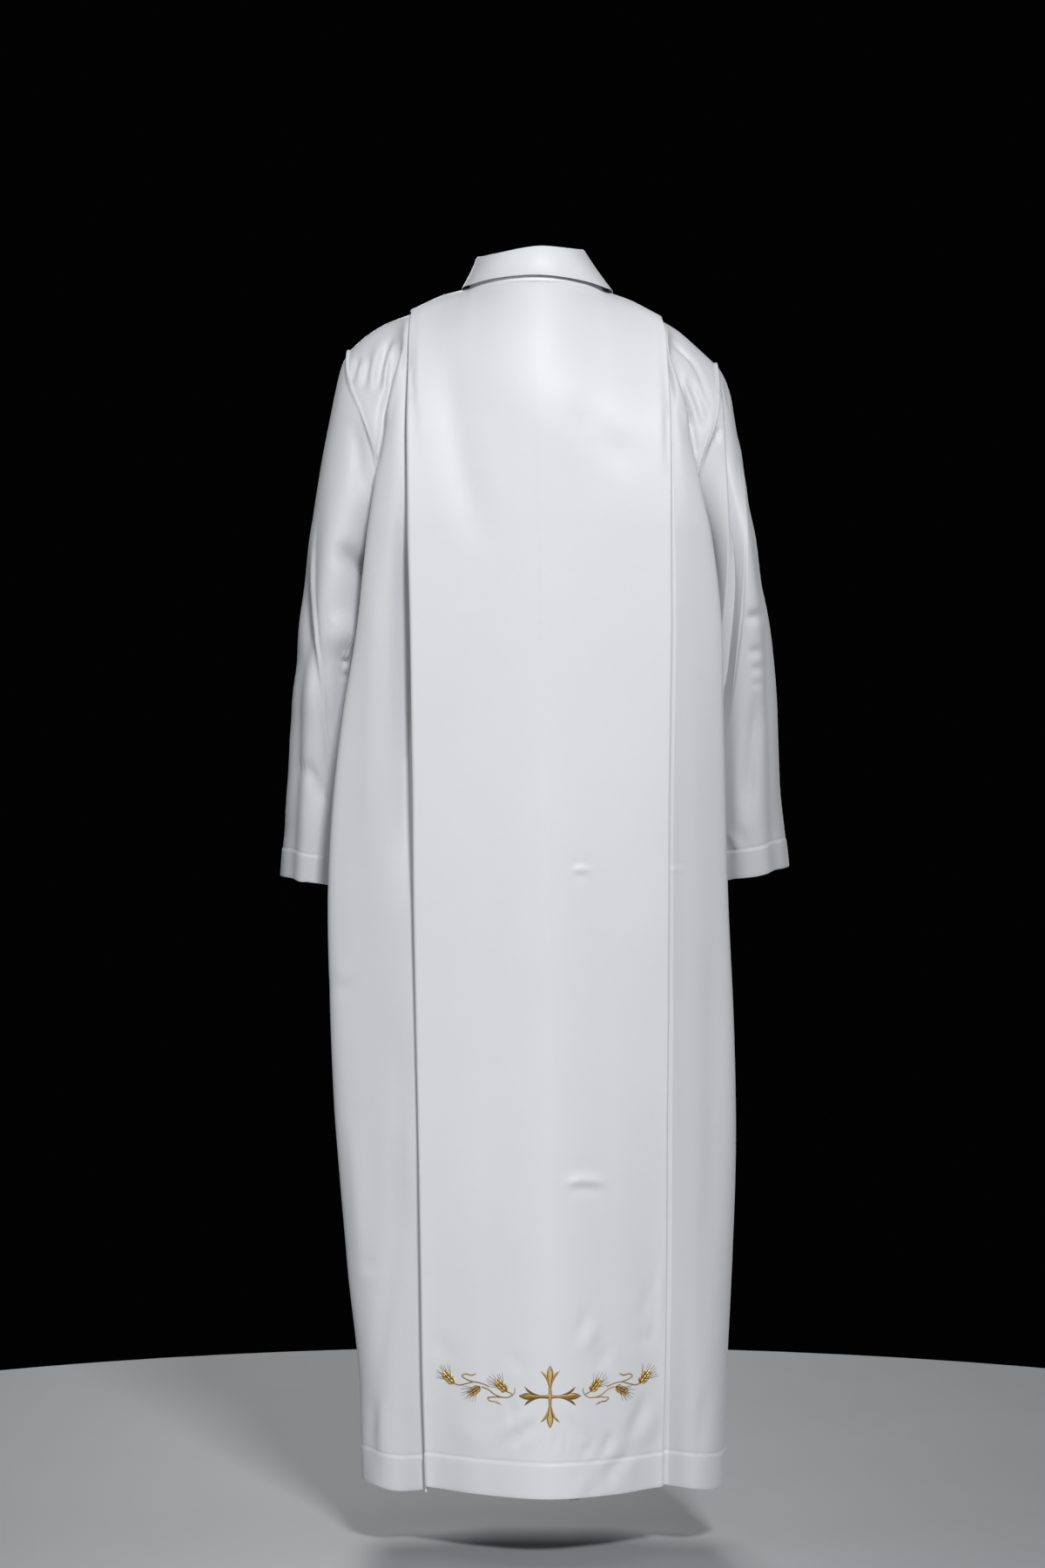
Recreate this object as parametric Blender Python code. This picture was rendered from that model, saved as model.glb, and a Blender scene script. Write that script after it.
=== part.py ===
"""An alb in its worn form: a box-pleated back, two fronts, set-in sleeves and a turned-down collar.

Metres, +Z up. The wearer faces -Y, and their left is +X. The origin is the centre of the neck opening.
Tables are in millimetres. A drop is a distance below the origin.
"""

import math

import bmesh
import bpy
import numpy as np

MM = 0.001
WALL = 1.6 * MM
SEAM_GAP = 0.44 * MM
TURNED_HEM = 0.7 * MM  # how much a turned hem adds to each face
LEFT, RIGHT = 1, -1
SIDE_NAMES = {LEFT: "left", RIGHT: "right"}

# How finely each piece is divided.
NECK_STEPS = 6  # from the centre to the neck point
YOKE_STEPS = 3  # from the neck point to the corner of the centre panel
OUTER_SHARES = (0.0, 0.09, 0.13, 0.18, 0.36, 0.55, 0.78, 1.0)  # from that corner to the shoulder point
GUIDE_STEPS = (1, 2, 2, 2)  # panel edge to swell, flare, tuck and side
ARMHOLE_ROWS = 12
SKIRT_ROWS = 12
UNDERLAY_STEPS = 4
BEND_STEPS = 3
PANEL_K = NECK_STEPS + YOKE_STEPS  # the column that runs down the panel's edge
SIDE_K = PANEL_K + len(OUTER_SHARES) - 1  # the column that runs down the armhole and the side

UNDERARM_DROP = 288 * MM
HEM_DROP = 1398 * MM
SKIRT_HEM = 40 * MM
HEM_ROW_GAP = 4 * MM  # from the row where a hem begins to thicken to its stitching
SLEEVE_HEM = 34 * MM
PLEAT_DEPTH = 118 * MM
PLEAT_TOP_SPACING = 3.0 * MM
PLEAT_SPACING = 8.0 * MM
PLEAT_OPEN_DROP = 160 * MM  # where the pleat's layers have reached their full spacing
SHOULDER_ROUNDNESS = 1.12
PANEL_ROUNDNESS = 0.1  # how far the panel's quarter stands over a straight line, as a share of its bulge
SWELL_REACH = 0.3  # where the back's swell is full, as a share of the armhole's height
TUCK_REACH = 0.6
SIDE_TURN = 0.7  # where the sides begin to turn towards each other, above the underarm
NECK_CURVE = 1.4  # how late the neck seam rises towards the neck points
SEAM_BLUR = 1.7  # how many columns the turns of the seam spread over, a little below it
SEAM_BLUR_REACH = 0.16  # and where they have spread so far, as a share of the armhole's height
SEAM_END_STEPS = 3  # columns over which the spreading ends at the armhole
BLUR_STEPS = 9
SUNK_START = 5.4  # the column where the pleat's layers begin to rise from the seam
SUNK_STEPS = 5.6
SUNK_REACH = 0.45
INNER_SAG_STEPS = 1.1  # how wide the inner folds sag


def table(names, *rows):
    """The rows' columns by name, from millimetres to metres."""
    return {name: np.array(column) * MM for name, column in zip(names.split(), zip(*rows))}


# The seams at the neck and along the shoulders.
NECK = {"half_left": 0.080, "half_right": 0.078, "point_y": -0.008, "back_y": 0.062, "front_y": -0.082}
NECK_DROP = {"back": -0.002, "left": -0.002, "right": 0.001, "front": 0.050}
SHOULDER = table(
    "left left_drop right right_drop",
    (80, -2, 78, 1),
    (114, 9, 110, 14),
    (149, 28, 146, 36),
    (185, 43, 168, 49.5),
    (204, 55.5, 188, 67),
    (220, 70, 208, 85.5),
)
SHOULDER_TIP_Y = -0.012

# The back's widths, from the middle plane to the pleat's edge and to the widest fold.
WIDTHS = table(
    "drop centre panel_left panel_right flare_left flare_right",
    (20, 0, 148, 144, 160, 157),
    (60, 0, 151, 151, 161, 157),
    (110, 0, 151, 153, 170, 164),
    (170, 0, 151, 154, 180, 175),
    (230, -1, 150, 154, 188, 187),
    (300, -2, 149, 154, 197, 201),
    (400, -3, 146, 154, 209, 213),
    (500, -6, 144, 152, 226, 216),
    (600, -9, 142, 150, 238, 219),
    (700, -11, 141, 149, 244, 222),
    (850, -14, 138, 148, 242, 228),
    (1000, -15, 135, 147, 235, 231),
    (1150, -15, 133, 147, 222, 227),
    (1280, -15, 132, 146, 208, 221),
    (1400, -15, 130, 145, 204, 218),
)
# The back's depths. Swell is how far the side stands out between the panel and the flare. Tuck is how far
# it is drawn in behind the arm, and side_in how far the side seam lies inside the flare.
DEPTHS = table(
    "drop centre panel swell flare tuck side_in side",
    (288, 108, 97, 5, 84, 6, 6, 0),
    (400, 110, 97, 5, 80, 8, 17, -4),
    (550, 113, 96, 5, 71, 10, 28, -8),
    (700, 117, 94, 6, 60, 8, 27, -12),
    (850, 121, 91, 9, 50, 2, 13, -16),
    (1000, 126, 88, 13, 45, 0, 9, -20),
    (1150, 131, 84, 17, 42, -2, 9, -22),
    (1280, 135, 80, 21, 41, -2, 10, -24),
    (1400, 139, 72, 26, 41, -2, 11, -26),
)
# The front's depths and widths below the underarm.
FRONTS = table(
    "drop centre breast_x breast outer_x outer",
    (288, -132, 86, -122, 156, -82),
    (400, -131, 90, -121, 162, -80),
    (550, -134, 95, -122, 168, -82),
    (700, -139, 100, -125, 178, -85),
    (850, -145, 106, -130, 193, -90),
    (1000, -150, 110, -133, 198, -94),
    (1150, -153, 110, -135, 194, -97),
    (1280, -155, 108, -138, 186, -100),
    (1400, -157, 108, -140, 184, -103),
)
# Soft folds that deepen towards the hem: where they run, how far they stand out, and how wide they are.
FRONT_FOLDS = table("place height width", (210, 9, 60), (430, -9, 70), (660, 10, 80))
FOLD_START_DROP = 330 * MM
# How far the hem hangs below its level: at the panel's middle, beside the pleat and at its inner fold.
HEM_SAG = {
    LEFT: {"panel": 4 * MM, "side": 8 * MM, "side_k": 9.4, "side_width": 1.6, "inner": 0.0},
    RIGHT: {"panel": 4 * MM, "side": 8 * MM, "side_k": 11.2, "side_width": 1.7, "inner": 9 * MM},
}
SAG_START_DROP = 1150 * MM

# The armhole's loop, from the shoulder point down the back, under the arm and up the front.
ARMHOLE = table(
    "drop left right y",
    (70, 220, 208, -12),
    (103, 221, 211, 26),
    (152, 202, 205, 53),
    (205, 187, 190, 60),
    (256, 184, 186, 42),
    (288, 190, 192, 0),
    (260, 183, 185, -43),
    (209, 179, 181, -68),
    (150, 189, 190, -71),
    (100, 210, 206, -48),
)
RIGHT_SHOULDER_DROP = 15.5 * MM  # how much lower the right shoulder point lies

# The sleeves' sections below the underarm.
SLEEVE_LEFT = table(
    "drop outer inner front back",
    (400, 279, 207, -82, 59),
    (500, 290, 217, -102, 39),
    (600, 298, 223, -129, 13),
    (700, 306.5, 226, -157, -14),
)
SLEEVE_RIGHT = table(
    "drop outer inner front back",
    (400, 276, 206, -82, 59),
    (500, 284, 206, -102, 39),
    (600, 289, 206, -129, 13),
    (700, 299.5, 209, -157, -14),
)
SLEEVE_CAP_SHARES = (0, 0.07, 0.2, 0.4, 0.6, 0.8, 1)  # rows from the armhole to the first section
SLEEVE_ROWS = 5
CUFF_DROPS = {LEFT: (0.695, 0.709), RIGHT: (0.684, 0.704)}  # at the outer and the inner side
SLEEVE_SQUARENESS = 0.86
SLEEVE_SWING = {LEFT: 0.2, RIGHT: 0.02}  # how far a sleeve's outer line swings out as it leaves the shoulder
SLEEVE_INNER_SWING = 0.45
ONWARD_STEP = 50 * MM  # over which the sections show which way a sleeve runs on
CAP_ROUND = {LEFT: 5 * MM, RIGHT: 10 * MM}  # how far the sleeve's head stands out
CAP_PLACE = {LEFT: 0.08, RIGHT: 0.12}  # and where, as a share of the way to the first section
SLEEVE_FOLD_REACH = 440 * MM  # below the armhole, where a sleeve's long folds have their full depth
# Long folds in a sleeve: the turn round it in thousandths, how far they stand out, and how wide they are.
SLEEVE_FOLDS = table("turn height width", (130, -5, 60), (235, 5, 70), (345, -4, 60), (700, 5, 90))

# The collar by its turn round the neck, in tenths of a degree from the centre back.
COLLAR = table(
    "turn fold_x fold_y fold_z edge_x edge_y edge_z bulge",
    (-450, -43, 37, 38, -59, 45, 4, 2),
    (0, 0, 54, 41, 0, 65.5, 8.5, 2.5),
    (450, 43, 37, 38, 59, 45, 4, 2),
    (675, 56, 18, 38.5, 80, 22, 0.6, 0.5),
    (900, 62, -3, 40, 89, -8, 0.6, -1),
    (1350, 50, -41, 14, 76, -63.5, -27, 1),
    (1650, 18, -60, -6, 50, -97, -62, 1.5),
    (1800, 3, -64, -12, 32, -108, -80, 1.5),
)
COLLAR_LEAN = 8 * MM  # how far the fold leans to the left
COLLAR_ROLL = 0.072  # how much it drops towards the left
COLLAR_TILT = 0.02  # how much its edge rises towards the left
COLLAR_BEND = 2.3 * MM
COLLAR_END_SHARE = 0.02  # how far its two ends are drawn apart, as a share of a column's width
COLLAR_MIDDLE_Y = -4 * MM
STAND_STEPS = 3
FALL_STEPS = 4

PLACKET_HALF = 18 * MM
PLACKET_DROP = 620 * MM

CLOTH = (0.86, 0.88, 0.92, 1.0)


# ---------------------------------------------------------------- curves

def unit(vectors):
    return vectors / np.maximum(np.linalg.norm(vectors, axis=-1, keepdims=True), 1e-12)


def smooth_step(value):
    value = np.clip(value, 0.0, 1.0)
    return value * value * (3 - 2 * value)


def slopes_of(knots, values):
    """The slope at each knot, from the knots beside it."""
    steps = np.diff(knots, axis=0)
    rises = np.diff(values, axis=0) / steps
    inner = (steps[:-1] * rises[1:] + steps[1:] * rises[:-1]) / (steps[:-1] + steps[1:])
    return np.concatenate([rises[:1], inner, rises[-1:]])


def hermite(start, end, slope_start, slope_end, length, share):
    """The point at a share of the way along a cubic from start to end."""
    square, cube = share**2, share**3
    return (
        (2 * cube - 3 * square + 1) * start
        + (cube - 2 * square + share) * length * slope_start
        + (3 * square - 2 * cube) * end
        + (cube - square) * length * slope_end
    )


def read(rows, column, drop, key="drop"):
    """A smooth reading of one column of a table."""
    knots, values = rows[key], rows[column]
    drop = np.clip(np.asarray(drop, float), knots[0], knots[-1])
    slopes = slopes_of(knots, values)
    index = np.clip(np.searchsorted(knots, drop, side="right") - 1, 0, len(knots) - 2)
    length = knots[index + 1] - knots[index]
    share = (drop - knots[index]) / length
    return hermite(values[index], values[index + 1], slopes[index], slopes[index + 1], length, share)


def loft(guides, segment, share):
    """Points between guide lines (guide, row, xyz), where segment and share are (column, row)."""
    chords = np.linalg.norm(np.diff(guides, axis=0), axis=-1, keepdims=True)
    knots = np.concatenate([np.zeros_like(chords[:1]), np.cumsum(chords, axis=0)])
    slopes = slopes_of(knots, guides)
    row = np.arange(guides.shape[1])[None, :]
    length = (knots[segment + 1, row] - knots[segment, row])
    return hermite(
        guides[segment, row], guides[segment + 1, row], slopes[segment, row], slopes[segment + 1, row],
        length, share[..., None],
    )


def pick(side, rows, name):
    return rows[f"{name}_{SIDE_NAMES[side]}"]


# ---------------------------------------------------------------- rows and seams

def skirt_drops():
    """The rows below the underarm, closer together at the turned hem."""
    stitch = HEM_DROP - SKIRT_HEM
    plain = np.linspace(UNDERARM_DROP, stitch - HEM_ROW_GAP, SKIRT_ROWS + 1)
    return np.concatenate([plain, [stitch, HEM_DROP]])


def seam_point(side, k, front):
    """The top edge of a front or of the back at column k: round the neck, then along the shoulder."""
    k = np.asarray(k, float)
    half = pick(side, NECK, "half")
    turn = np.clip(k / NECK_STEPS, 0, 1) * math.pi / 2
    middle_y = NECK["front_y"] if front else NECK["back_y"]
    middle_drop = NECK_DROP["front" if front else "back"]
    point_drop = NECK_DROP[SIDE_NAMES[side]]
    neck = np.stack([
        side * half * np.sin(turn),
        NECK["point_y"] + (middle_y - NECK["point_y"]) * np.cos(turn),
        -(point_drop + (middle_drop - point_drop) * np.cos(turn) ** NECK_CURVE),
    ], axis=-1)
    name = SIDE_NAMES[side]
    xs = SHOULDER[name]
    corner = xs[2]
    outer = np.interp(k - PANEL_K, np.arange(len(OUTER_SHARES)), OUTER_SHARES)
    along = np.where(
        k < PANEL_K,
        xs[0] + (corner - xs[0]) * np.clip((k - NECK_STEPS) / YOKE_STEPS, 0, 1),
        corner + (xs[-1] - corner) * outer,
    )
    shoulder_y = NECK["point_y"] + (SHOULDER_TIP_Y - NECK["point_y"]) * (along - xs[0]) / (xs[-1] - xs[0])
    shoulder = np.stack([side * along, shoulder_y, -read(SHOULDER, f"{name}_drop", along, key=name)], axis=-1)
    return np.where((k < NECK_STEPS)[..., None], neck, shoulder)


def armhole_line(side, front):
    """The armhole from the shoulder point to the underarm, one point a row."""
    count = len(ARMHOLE["drop"])
    loop = np.stack([side * ARMHOLE[SIDE_NAMES[side]], ARMHOLE["y"], -ARMHOLE["drop"]], axis=-1)
    if side == RIGHT:
        height = (UNDERARM_DROP - ARMHOLE["drop"]) / (UNDERARM_DROP - ARMHOLE["drop"][0])
        loop[:, 2] -= RIGHT_SHOULDER_DROP * height
    turns = np.concatenate([loop[-2:], loop, loop[:3]])
    knots = np.arange(-2, count + 3, dtype=float)[:, None]
    slopes = slopes_of(knots, turns)
    half = count / 2
    at = np.linspace(0, half, ARMHOLE_ROWS + 1)
    if front:
        at = (count - at) % count
    index = np.floor(at).astype(int) + 2
    share = (at - np.floor(at))[:, None]
    return hermite(turns[index], turns[index + 1], slopes[index], slopes[index + 1], 1.0, share)


def guide_line(top, x_of, y_of):
    """A line from the seam over the shoulder and down to the hem. x_of and y_of read a drop."""
    turn = np.linspace(0, math.pi / 2, ARMHOLE_ROWS + 1)
    fall = 1 - np.cos(turn) ** SHOULDER_ROUNDNESS
    reach = np.sin(turn) ** SHOULDER_ROUNDNESS
    top_drop = -top[2]
    upper_drop = top_drop + (UNDERARM_DROP - top_drop) * fall
    upper_y = top[1] + (y_of(UNDERARM_DROP) - top[1]) * reach
    lower_drop = skirt_drops()[1:]
    drop = np.concatenate([upper_drop, lower_drop])
    y = np.concatenate([upper_y, y_of(lower_drop)])
    x = x_of(drop)
    x = x + (top[0] - x[0]) * np.clip(1 - np.arange(len(drop)) / ARMHOLE_ROWS, 0, 1) ** 2
    return np.stack([x, y, -drop], axis=-1)


def side_line(side, front):
    """The armhole, and the side seam below it."""
    drop = skirt_drops()[1:]
    x = pick(side, WIDTHS, "flare")
    x = read({"drop": WIDTHS["drop"], "x": x}, "x", drop) - read(DEPTHS, "side_in", drop)
    below = np.stack([side * x, read(DEPTHS, "side", drop), -drop], axis=-1)
    return np.concatenate([armhole_line(side, front), below])


def centre_x(drop):
    return read(WIDTHS, "centre", drop)


def back_guides(side):
    """Centre, mid-panel, panel edge, swell, flare, tuck and side lines of one half of the back."""
    def width(column):
        return lambda drop: side * read(WIDTHS, f"{column}_{SIDE_NAMES[side]}", drop)

    def depth(column):
        return lambda drop: read(DEPTHS, column, drop)

    flare_k = PANEL_K + sum(GUIDE_STEPS[:2])
    centre = guide_line(seam_point(side, 0, False), centre_x, depth("centre"))
    panel = guide_line(seam_point(side, PANEL_K, False), width("panel"), depth("panel"))
    flare = guide_line(seam_point(side, flare_k, False), width("flare"), depth("flare"))
    sides = side_line(side, False)
    drops = -flare[:, 2]
    swell = (panel + flare) / 2
    swell[:, 1] += read(DEPTHS, "swell", drops) * growing(SWELL_REACH)
    tuck = (flare + sides) / 2
    tuck[:, 0] -= side * read(DEPTHS, "tuck", drops) * growing(TUCK_REACH)
    half = (centre + panel) / 2
    half[:, 1] += PANEL_ROUNDNESS * (centre[:, 1] - panel[:, 1]) * growing(1.0)
    return np.stack([centre, half, panel, swell, flare, tuck, sides])


def growing(share):
    """From 0 at the top row to 1 at a share of the armhole's rows."""
    rows = np.arange(ARMHOLE_ROWS + len(skirt_drops()))
    return smooth_step(rows / (share * ARMHOLE_ROWS))


def front_guides(side):
    """Centre, breast, outer and side lines of one front."""
    def across(column):
        return lambda drop: side * read(FRONTS, column, drop)

    def depth(column):
        return lambda drop: read(FRONTS, column, drop)

    return np.stack([
        guide_line(seam_point(side, 0, True), centre_x, depth("centre")),
        guide_line(seam_point(side, NECK_STEPS, True), across("breast_x"), depth("breast")),
        guide_line(seam_point(side, PANEL_K, True), across("outer_x"), depth("outer")),
        side_line(side, True),
    ])


def between(guides, knots, k):
    """Points at columns k, which is (column, row), between guide lines that stand at the knots."""
    segment = np.clip(np.searchsorted(knots, k, side="right") - 1, 0, len(knots) - 2)
    share = (k - knots[segment]) / (knots[segment + 1] - knots[segment])
    return loft(guides, segment + 1, share)


def meet_seam(side, guides, knots, k, front):
    """Points at columns k whose top row runs along the seam. The rows below follow its turns less sharply."""
    rows = np.arange(k.shape[1])
    tops = np.repeat(guides[:, :1], len(rows), axis=1)
    spread = SEAM_BLUR * smooth_step(rows / (SEAM_BLUR_REACH * ARMHOLE_ROWS))
    spread = spread * np.clip((SIDE_K - k) / SEAM_END_STEPS, 0, 1)
    places = np.linspace(-2, 2, BLUR_STEPS)
    weights = np.exp(-(places**2) / 2)
    offset = np.zeros(k.shape + (3,))
    for place, weight in zip(places, weights / weights.sum()):
        at = k + place * spread
        beside = np.clip(np.abs(at), 0, SIDE_K)
        gap = seam_point(side, beside, front) - between(tops, knots, beside)
        gap[..., 0] *= np.where(at < 0, -1, 1)
        offset += weight * gap
    fade = np.clip(1 - rows / ARMHOLE_ROWS, 0, 1) ** 3
    return between(guides, knots, k) + offset * fade[:, None]


def end_of_side(side, front):
    """A line past the side seam, which gives the cloth there its direction."""
    own = (front_guides if front else back_guides)(side)
    other = (back_guides if front else front_guides)(side)[-2]
    straight = 2 * own[-1] - own[-2]
    share = smooth_step((np.arange(own.shape[1]) / ARMHOLE_ROWS - SIDE_TURN) / (1 - SIDE_TURN))[:, None]
    return straight + (other - straight) * share


def back_surface(side, k):
    """The back's innermost layer at columns k, which is (column, row)."""
    guides = back_guides(side)
    other = back_guides(-side)[1]
    guides = np.concatenate([other[None], guides, end_of_side(side, False)[None]])
    knots = np.concatenate([[0, PANEL_K / 2], PANEL_K + np.cumsum((0,) + GUIDE_STEPS)])
    return meet_seam(side, guides, knots, k, False)


def front_surface(side, k):
    """A front at columns k, which is (column, row)."""
    guides = front_guides(side)
    other = front_guides(-side)[1]
    guides = np.concatenate([other[None], guides, end_of_side(side, True)[None]])
    knots = np.array([0, NECK_STEPS, PANEL_K, SIDE_K])
    return meet_seam(side, guides, knots, k, True)


def facing(points, away):
    """Unit normals of a grid (column, row), turned to the side that away points to at its middle."""
    across = np.gradient(points, axis=0)
    down = np.gradient(points, axis=1)
    normals = unit(np.cross(across, down))
    middle = normals[points.shape[0] // 2, points.shape[1] // 2]
    return normals * np.sign(np.dot(middle, away))


def normals_at(surface, side, k, away):
    """The normals of a surface at columns k, from its points a little to each side."""
    reach = 0.05
    across = surface(side, np.minimum(k + reach, SIDE_K)) - surface(side, np.maximum(k - reach, 0))
    down = np.gradient(surface(side, k), axis=1)
    normals = unit(np.cross(across, down))
    middle = normals[normals.shape[0] // 2, normals.shape[1] // 2]
    return normals * np.sign(np.dot(middle, away))


# ---------------------------------------------------------------- the flat runs and folds of the back

def pleat_gap(side):
    """How far apart the pleat's layers lie, by row."""
    drop = -back_guides(side)[2][:, 2]
    opened = smooth_step((drop - drop[0]) / PLEAT_OPEN_DROP)
    return PLEAT_TOP_SPACING + (PLEAT_SPACING - PLEAT_TOP_SPACING) * opened


def pleat_path(side):
    """One half of the back from its side to the centre: columns k, and heights over the innermost layer."""
    guides = back_guides(side)
    per_metre = PANEL_K / np.linalg.norm(guides[2] - guides[0], axis=-1)
    gap = pleat_gap(side)
    reach = gap / 2 * per_metre
    outer = PANEL_K - reach
    inner = PANEL_K - PLEAT_DEPTH * per_metre
    flat = np.zeros_like(gap)
    run = np.linspace(0, 1, UNDERLAY_STEPS + 1)[:, None]
    turn = np.linspace(0, math.pi, BEND_STEPS + 1)[1:-1, None]
    side_k = np.arange(SIDE_K, PANEL_K, -1.0)[:, None]
    panel_k = np.arange(PANEL_K - 1.0, -1.0, -1.0)[:, None]
    pieces = (
        (side_k, flat),
        (PANEL_K + (inner - PANEL_K) * run, flat),
        (inner - reach * np.sin(turn), gap / 2 * (1 - np.cos(turn))),
        (inner + (outer - inner) * run, gap),
        (outer + reach * np.sin(turn), gap * 1.5 - gap / 2 * np.cos(turn)),
        (outer[None], 2 * gap),
        (panel_k, 2 * gap),
    )
    filled = [np.broadcast_arrays(*piece) for piece in pieces]
    k = np.concatenate([piece[0] for piece in filled])
    height = np.concatenate([piece[1] for piece in filled])
    sunk = 1 - smooth_step((k - SUNK_START) / SUNK_STEPS)
    fade = 1 - smooth_step(np.arange(len(gap)) / (SUNK_REACH * ARMHOLE_ROWS))
    return k, height - 2 * gap * sunk * fade


def hem_sag(side, k, height):
    """How far each point of the back hangs lower than a level hem would have it."""
    sag = HEM_SAG[side]
    on_panel = height[:, -1:] > 1.5 * PLEAT_SPACING  # over the two layers under it
    panel = sag["panel"] * np.clip(1 - (k / PANEL_K) ** 2, 0, 1)
    beside = sag["side"] * np.exp(-(((k - sag["side_k"]) / sag["side_width"]) ** 2)) * (k >= PANEL_K)
    inner_fold_k = np.min(np.where(on_panel, PANEL_K, k), axis=0)
    folded = sag["inner"] * np.exp(-(((k - inner_fold_k) / INNER_SAG_STEPS) ** 2))
    return np.where(on_panel, panel, beside + folded)


def stacking(side, k):
    """The directions in which the pleat's layers lie over each other: the seam's own at the top edge."""
    own = normals_at(back_surface, side, k, (0, 1, 0))
    front = normals_at(front_surface, side, k, (0, -1, 0))
    seam = unit(own[:, :1] + front[:, :1])
    fade = 1 - smooth_step(np.arange(k.shape[1]) / (SUNK_REACH * ARMHOLE_ROWS))
    return unit(own + (seam - own) * fade[:, None])


def back_half(side):
    k, height = pleat_path(side)
    base = back_surface(side, k)
    points = base + stacking(side, k) * height[..., None]
    fade = smooth_step((-points[..., 2] - SAG_START_DROP) / (HEM_DROP - SAG_START_DROP))
    points[..., 2] -= hem_sag(side, k, height) * fade
    return k, points


def front_half(side):
    """A front from its centre to its side, with its soft folds."""
    k = np.arange(SIDE_K + 1.0)[:, None] + np.zeros(ARMHOLE_ROWS + len(skirt_drops()))
    points = front_surface(side, k)
    drop = -points[..., 2]
    depth = smooth_step((drop - FOLD_START_DROP) / (HEM_DROP - FOLD_START_DROP))
    height = np.zeros_like(k)
    for place, rise, width in zip(*FRONT_FOLDS.values()):
        height += rise * np.exp(-(((k / SIDE_K - place) / width) ** 2))
    return points + facing(points, (0, -1, 0)) * (height * depth)[..., None]


# ---------------------------------------------------------------- seams between pieces

class Sheet:
    """A grid of points (column, row) with the normals of its outer face and its thickness to each side."""

    def __init__(self, points, normals, closed=False):
        self.points = points
        self.normals = normals
        self.closed = closed
        self.extra = np.zeros(points.shape[:2])

    def turn_hem(self, depth_rows=1):
        self.extra[:, -1 - depth_rows:] = TURNED_HEM


def seam_frame(points, into_a, into_b, normal_a, normal_b):
    """The direction that two walls share at their seam, and the direction across it into the first."""
    along = unit(np.gradient(points, axis=0))
    common = normal_a + normal_b
    common = unit(common - along * np.sum(common * along, axis=-1, keepdims=True))
    across = np.cross(common, along)
    into = np.sum(across * (into_a - into_b), axis=-1, keepdims=True)
    return common, across * np.sign(into)


def set_edge(sheet, index, common, across):
    """Moves an edge back from its seam and turns its normals to the shared direction."""
    sheet.points[index] = sheet.points[index] + across * SEAM_GAP / 2
    facing_sign = np.sign(np.sum(sheet.normals[index] * common, axis=-1, keepdims=True))
    sheet.normals[index] = common * np.where(facing_sign == 0, 1, facing_sign)


# ---------------------------------------------------------------- sleeves

def sleeve_points(side):
    """Rings (column round the sleeve, row down it). It starts at the shoulder point and turns to the back."""
    rows = SLEEVE_LEFT if side == LEFT else SLEEVE_RIGHT
    start = np.concatenate([armhole_line(side, False), armhole_line(side, True)[-2:0:-1]])
    count = len(start)
    turn = np.arange(count) / count
    angle = turn * 2 * math.pi
    outer_share = (1 + np.cos(angle)) / 2
    cuff = CUFF_DROPS[side][1] + (CUFF_DROPS[side][0] - CUFF_DROPS[side][1]) * outer_share

    def ring(drop):
        section = {name: read(rows, name, drop) for name in ("outer", "inner", "front", "back")}
        across = np.sign(np.cos(angle)) * np.abs(np.cos(angle)) ** SLEEVE_SQUARENESS
        deep = np.sign(np.sin(angle)) * np.abs(np.sin(angle)) ** SLEEVE_SQUARENESS
        x = (section["outer"] + section["inner"]) / 2 + (section["outer"] - section["inner"]) / 2 * across
        y = (section["front"] + section["back"]) / 2 + (section["back"] - section["front"]) / 2 * deep
        return np.stack([side * x, y, -np.broadcast_to(drop, x.shape)], axis=-1)

    first_drop = rows["drop"][0] * np.ones(count)
    end = ring(first_drop)
    onward = unit(ring(first_drop + ONWARD_STEP) - end)
    swing = SLEEVE_INNER_SWING + (SLEEVE_SWING[side] - SLEEVE_INNER_SWING) * outer_share
    outward = np.stack([side * swing, 0 * turn, 0 * turn], axis=-1)
    leaving = unit(unit(end - start) + outward)
    reach = np.linalg.norm(end - start, axis=-1, keepdims=True)
    lines = []
    for share in SLEEVE_CAP_SHARES:
        line = hermite(start, end, leaving, onward, reach, share)
        place = share / CAP_PLACE[side]
        line[:, 0] += side * CAP_ROUND[side] * place * math.exp(1 - place) * outer_share**2
        lines.append(line)
    plain = np.linspace(0, 1, SLEEVE_ROWS + 1)[1:]
    for share in plain:
        lines.append(ring(first_drop + (cuff - SLEEVE_HEM - HEM_ROW_GAP - first_drop) * share))
    lines.append(ring(cuff - SLEEVE_HEM))
    lines.append(ring(cuff))
    points = np.stack(lines, axis=1)
    height = np.zeros(count)
    for place, rise, width in zip(*SLEEVE_FOLDS.values()):
        away = np.abs(turn - place)
        height += rise * np.exp(-((np.minimum(away, 1 - away) / width) ** 2))
    fade = smooth_step((-points[..., 2] + points[:, :1, 2]) / SLEEVE_FOLD_REACH)
    normals = tube_normals(points)
    return points + normals * (height[:, None] * fade)[..., None]


def tube_normals(points):
    """Outward unit normals of rings (column, row)."""
    across = np.roll(points, -1, axis=0) - np.roll(points, 1, axis=0)
    down = np.gradient(points, axis=1)
    normals = unit(np.cross(across, down))
    out = points[:, -1] - points[:, -1].mean(axis=0)
    return normals * np.sign(np.sum(normals[:, -1] * out))


# ---------------------------------------------------------------- collar

def collar_stations():
    """Where the collar's columns start on the neck seam: their side, column k, and whether on the front."""
    steps = range(NECK_STEPS + 1)
    left = [(LEFT, k, True) for k in steps] + [(LEFT, k, False) for k in reversed(steps[:-1])]
    right = [(RIGHT, k, False) for k in steps[1:]] + [(RIGHT, k, True) for k in reversed(steps[:-1])]
    return left + right


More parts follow.
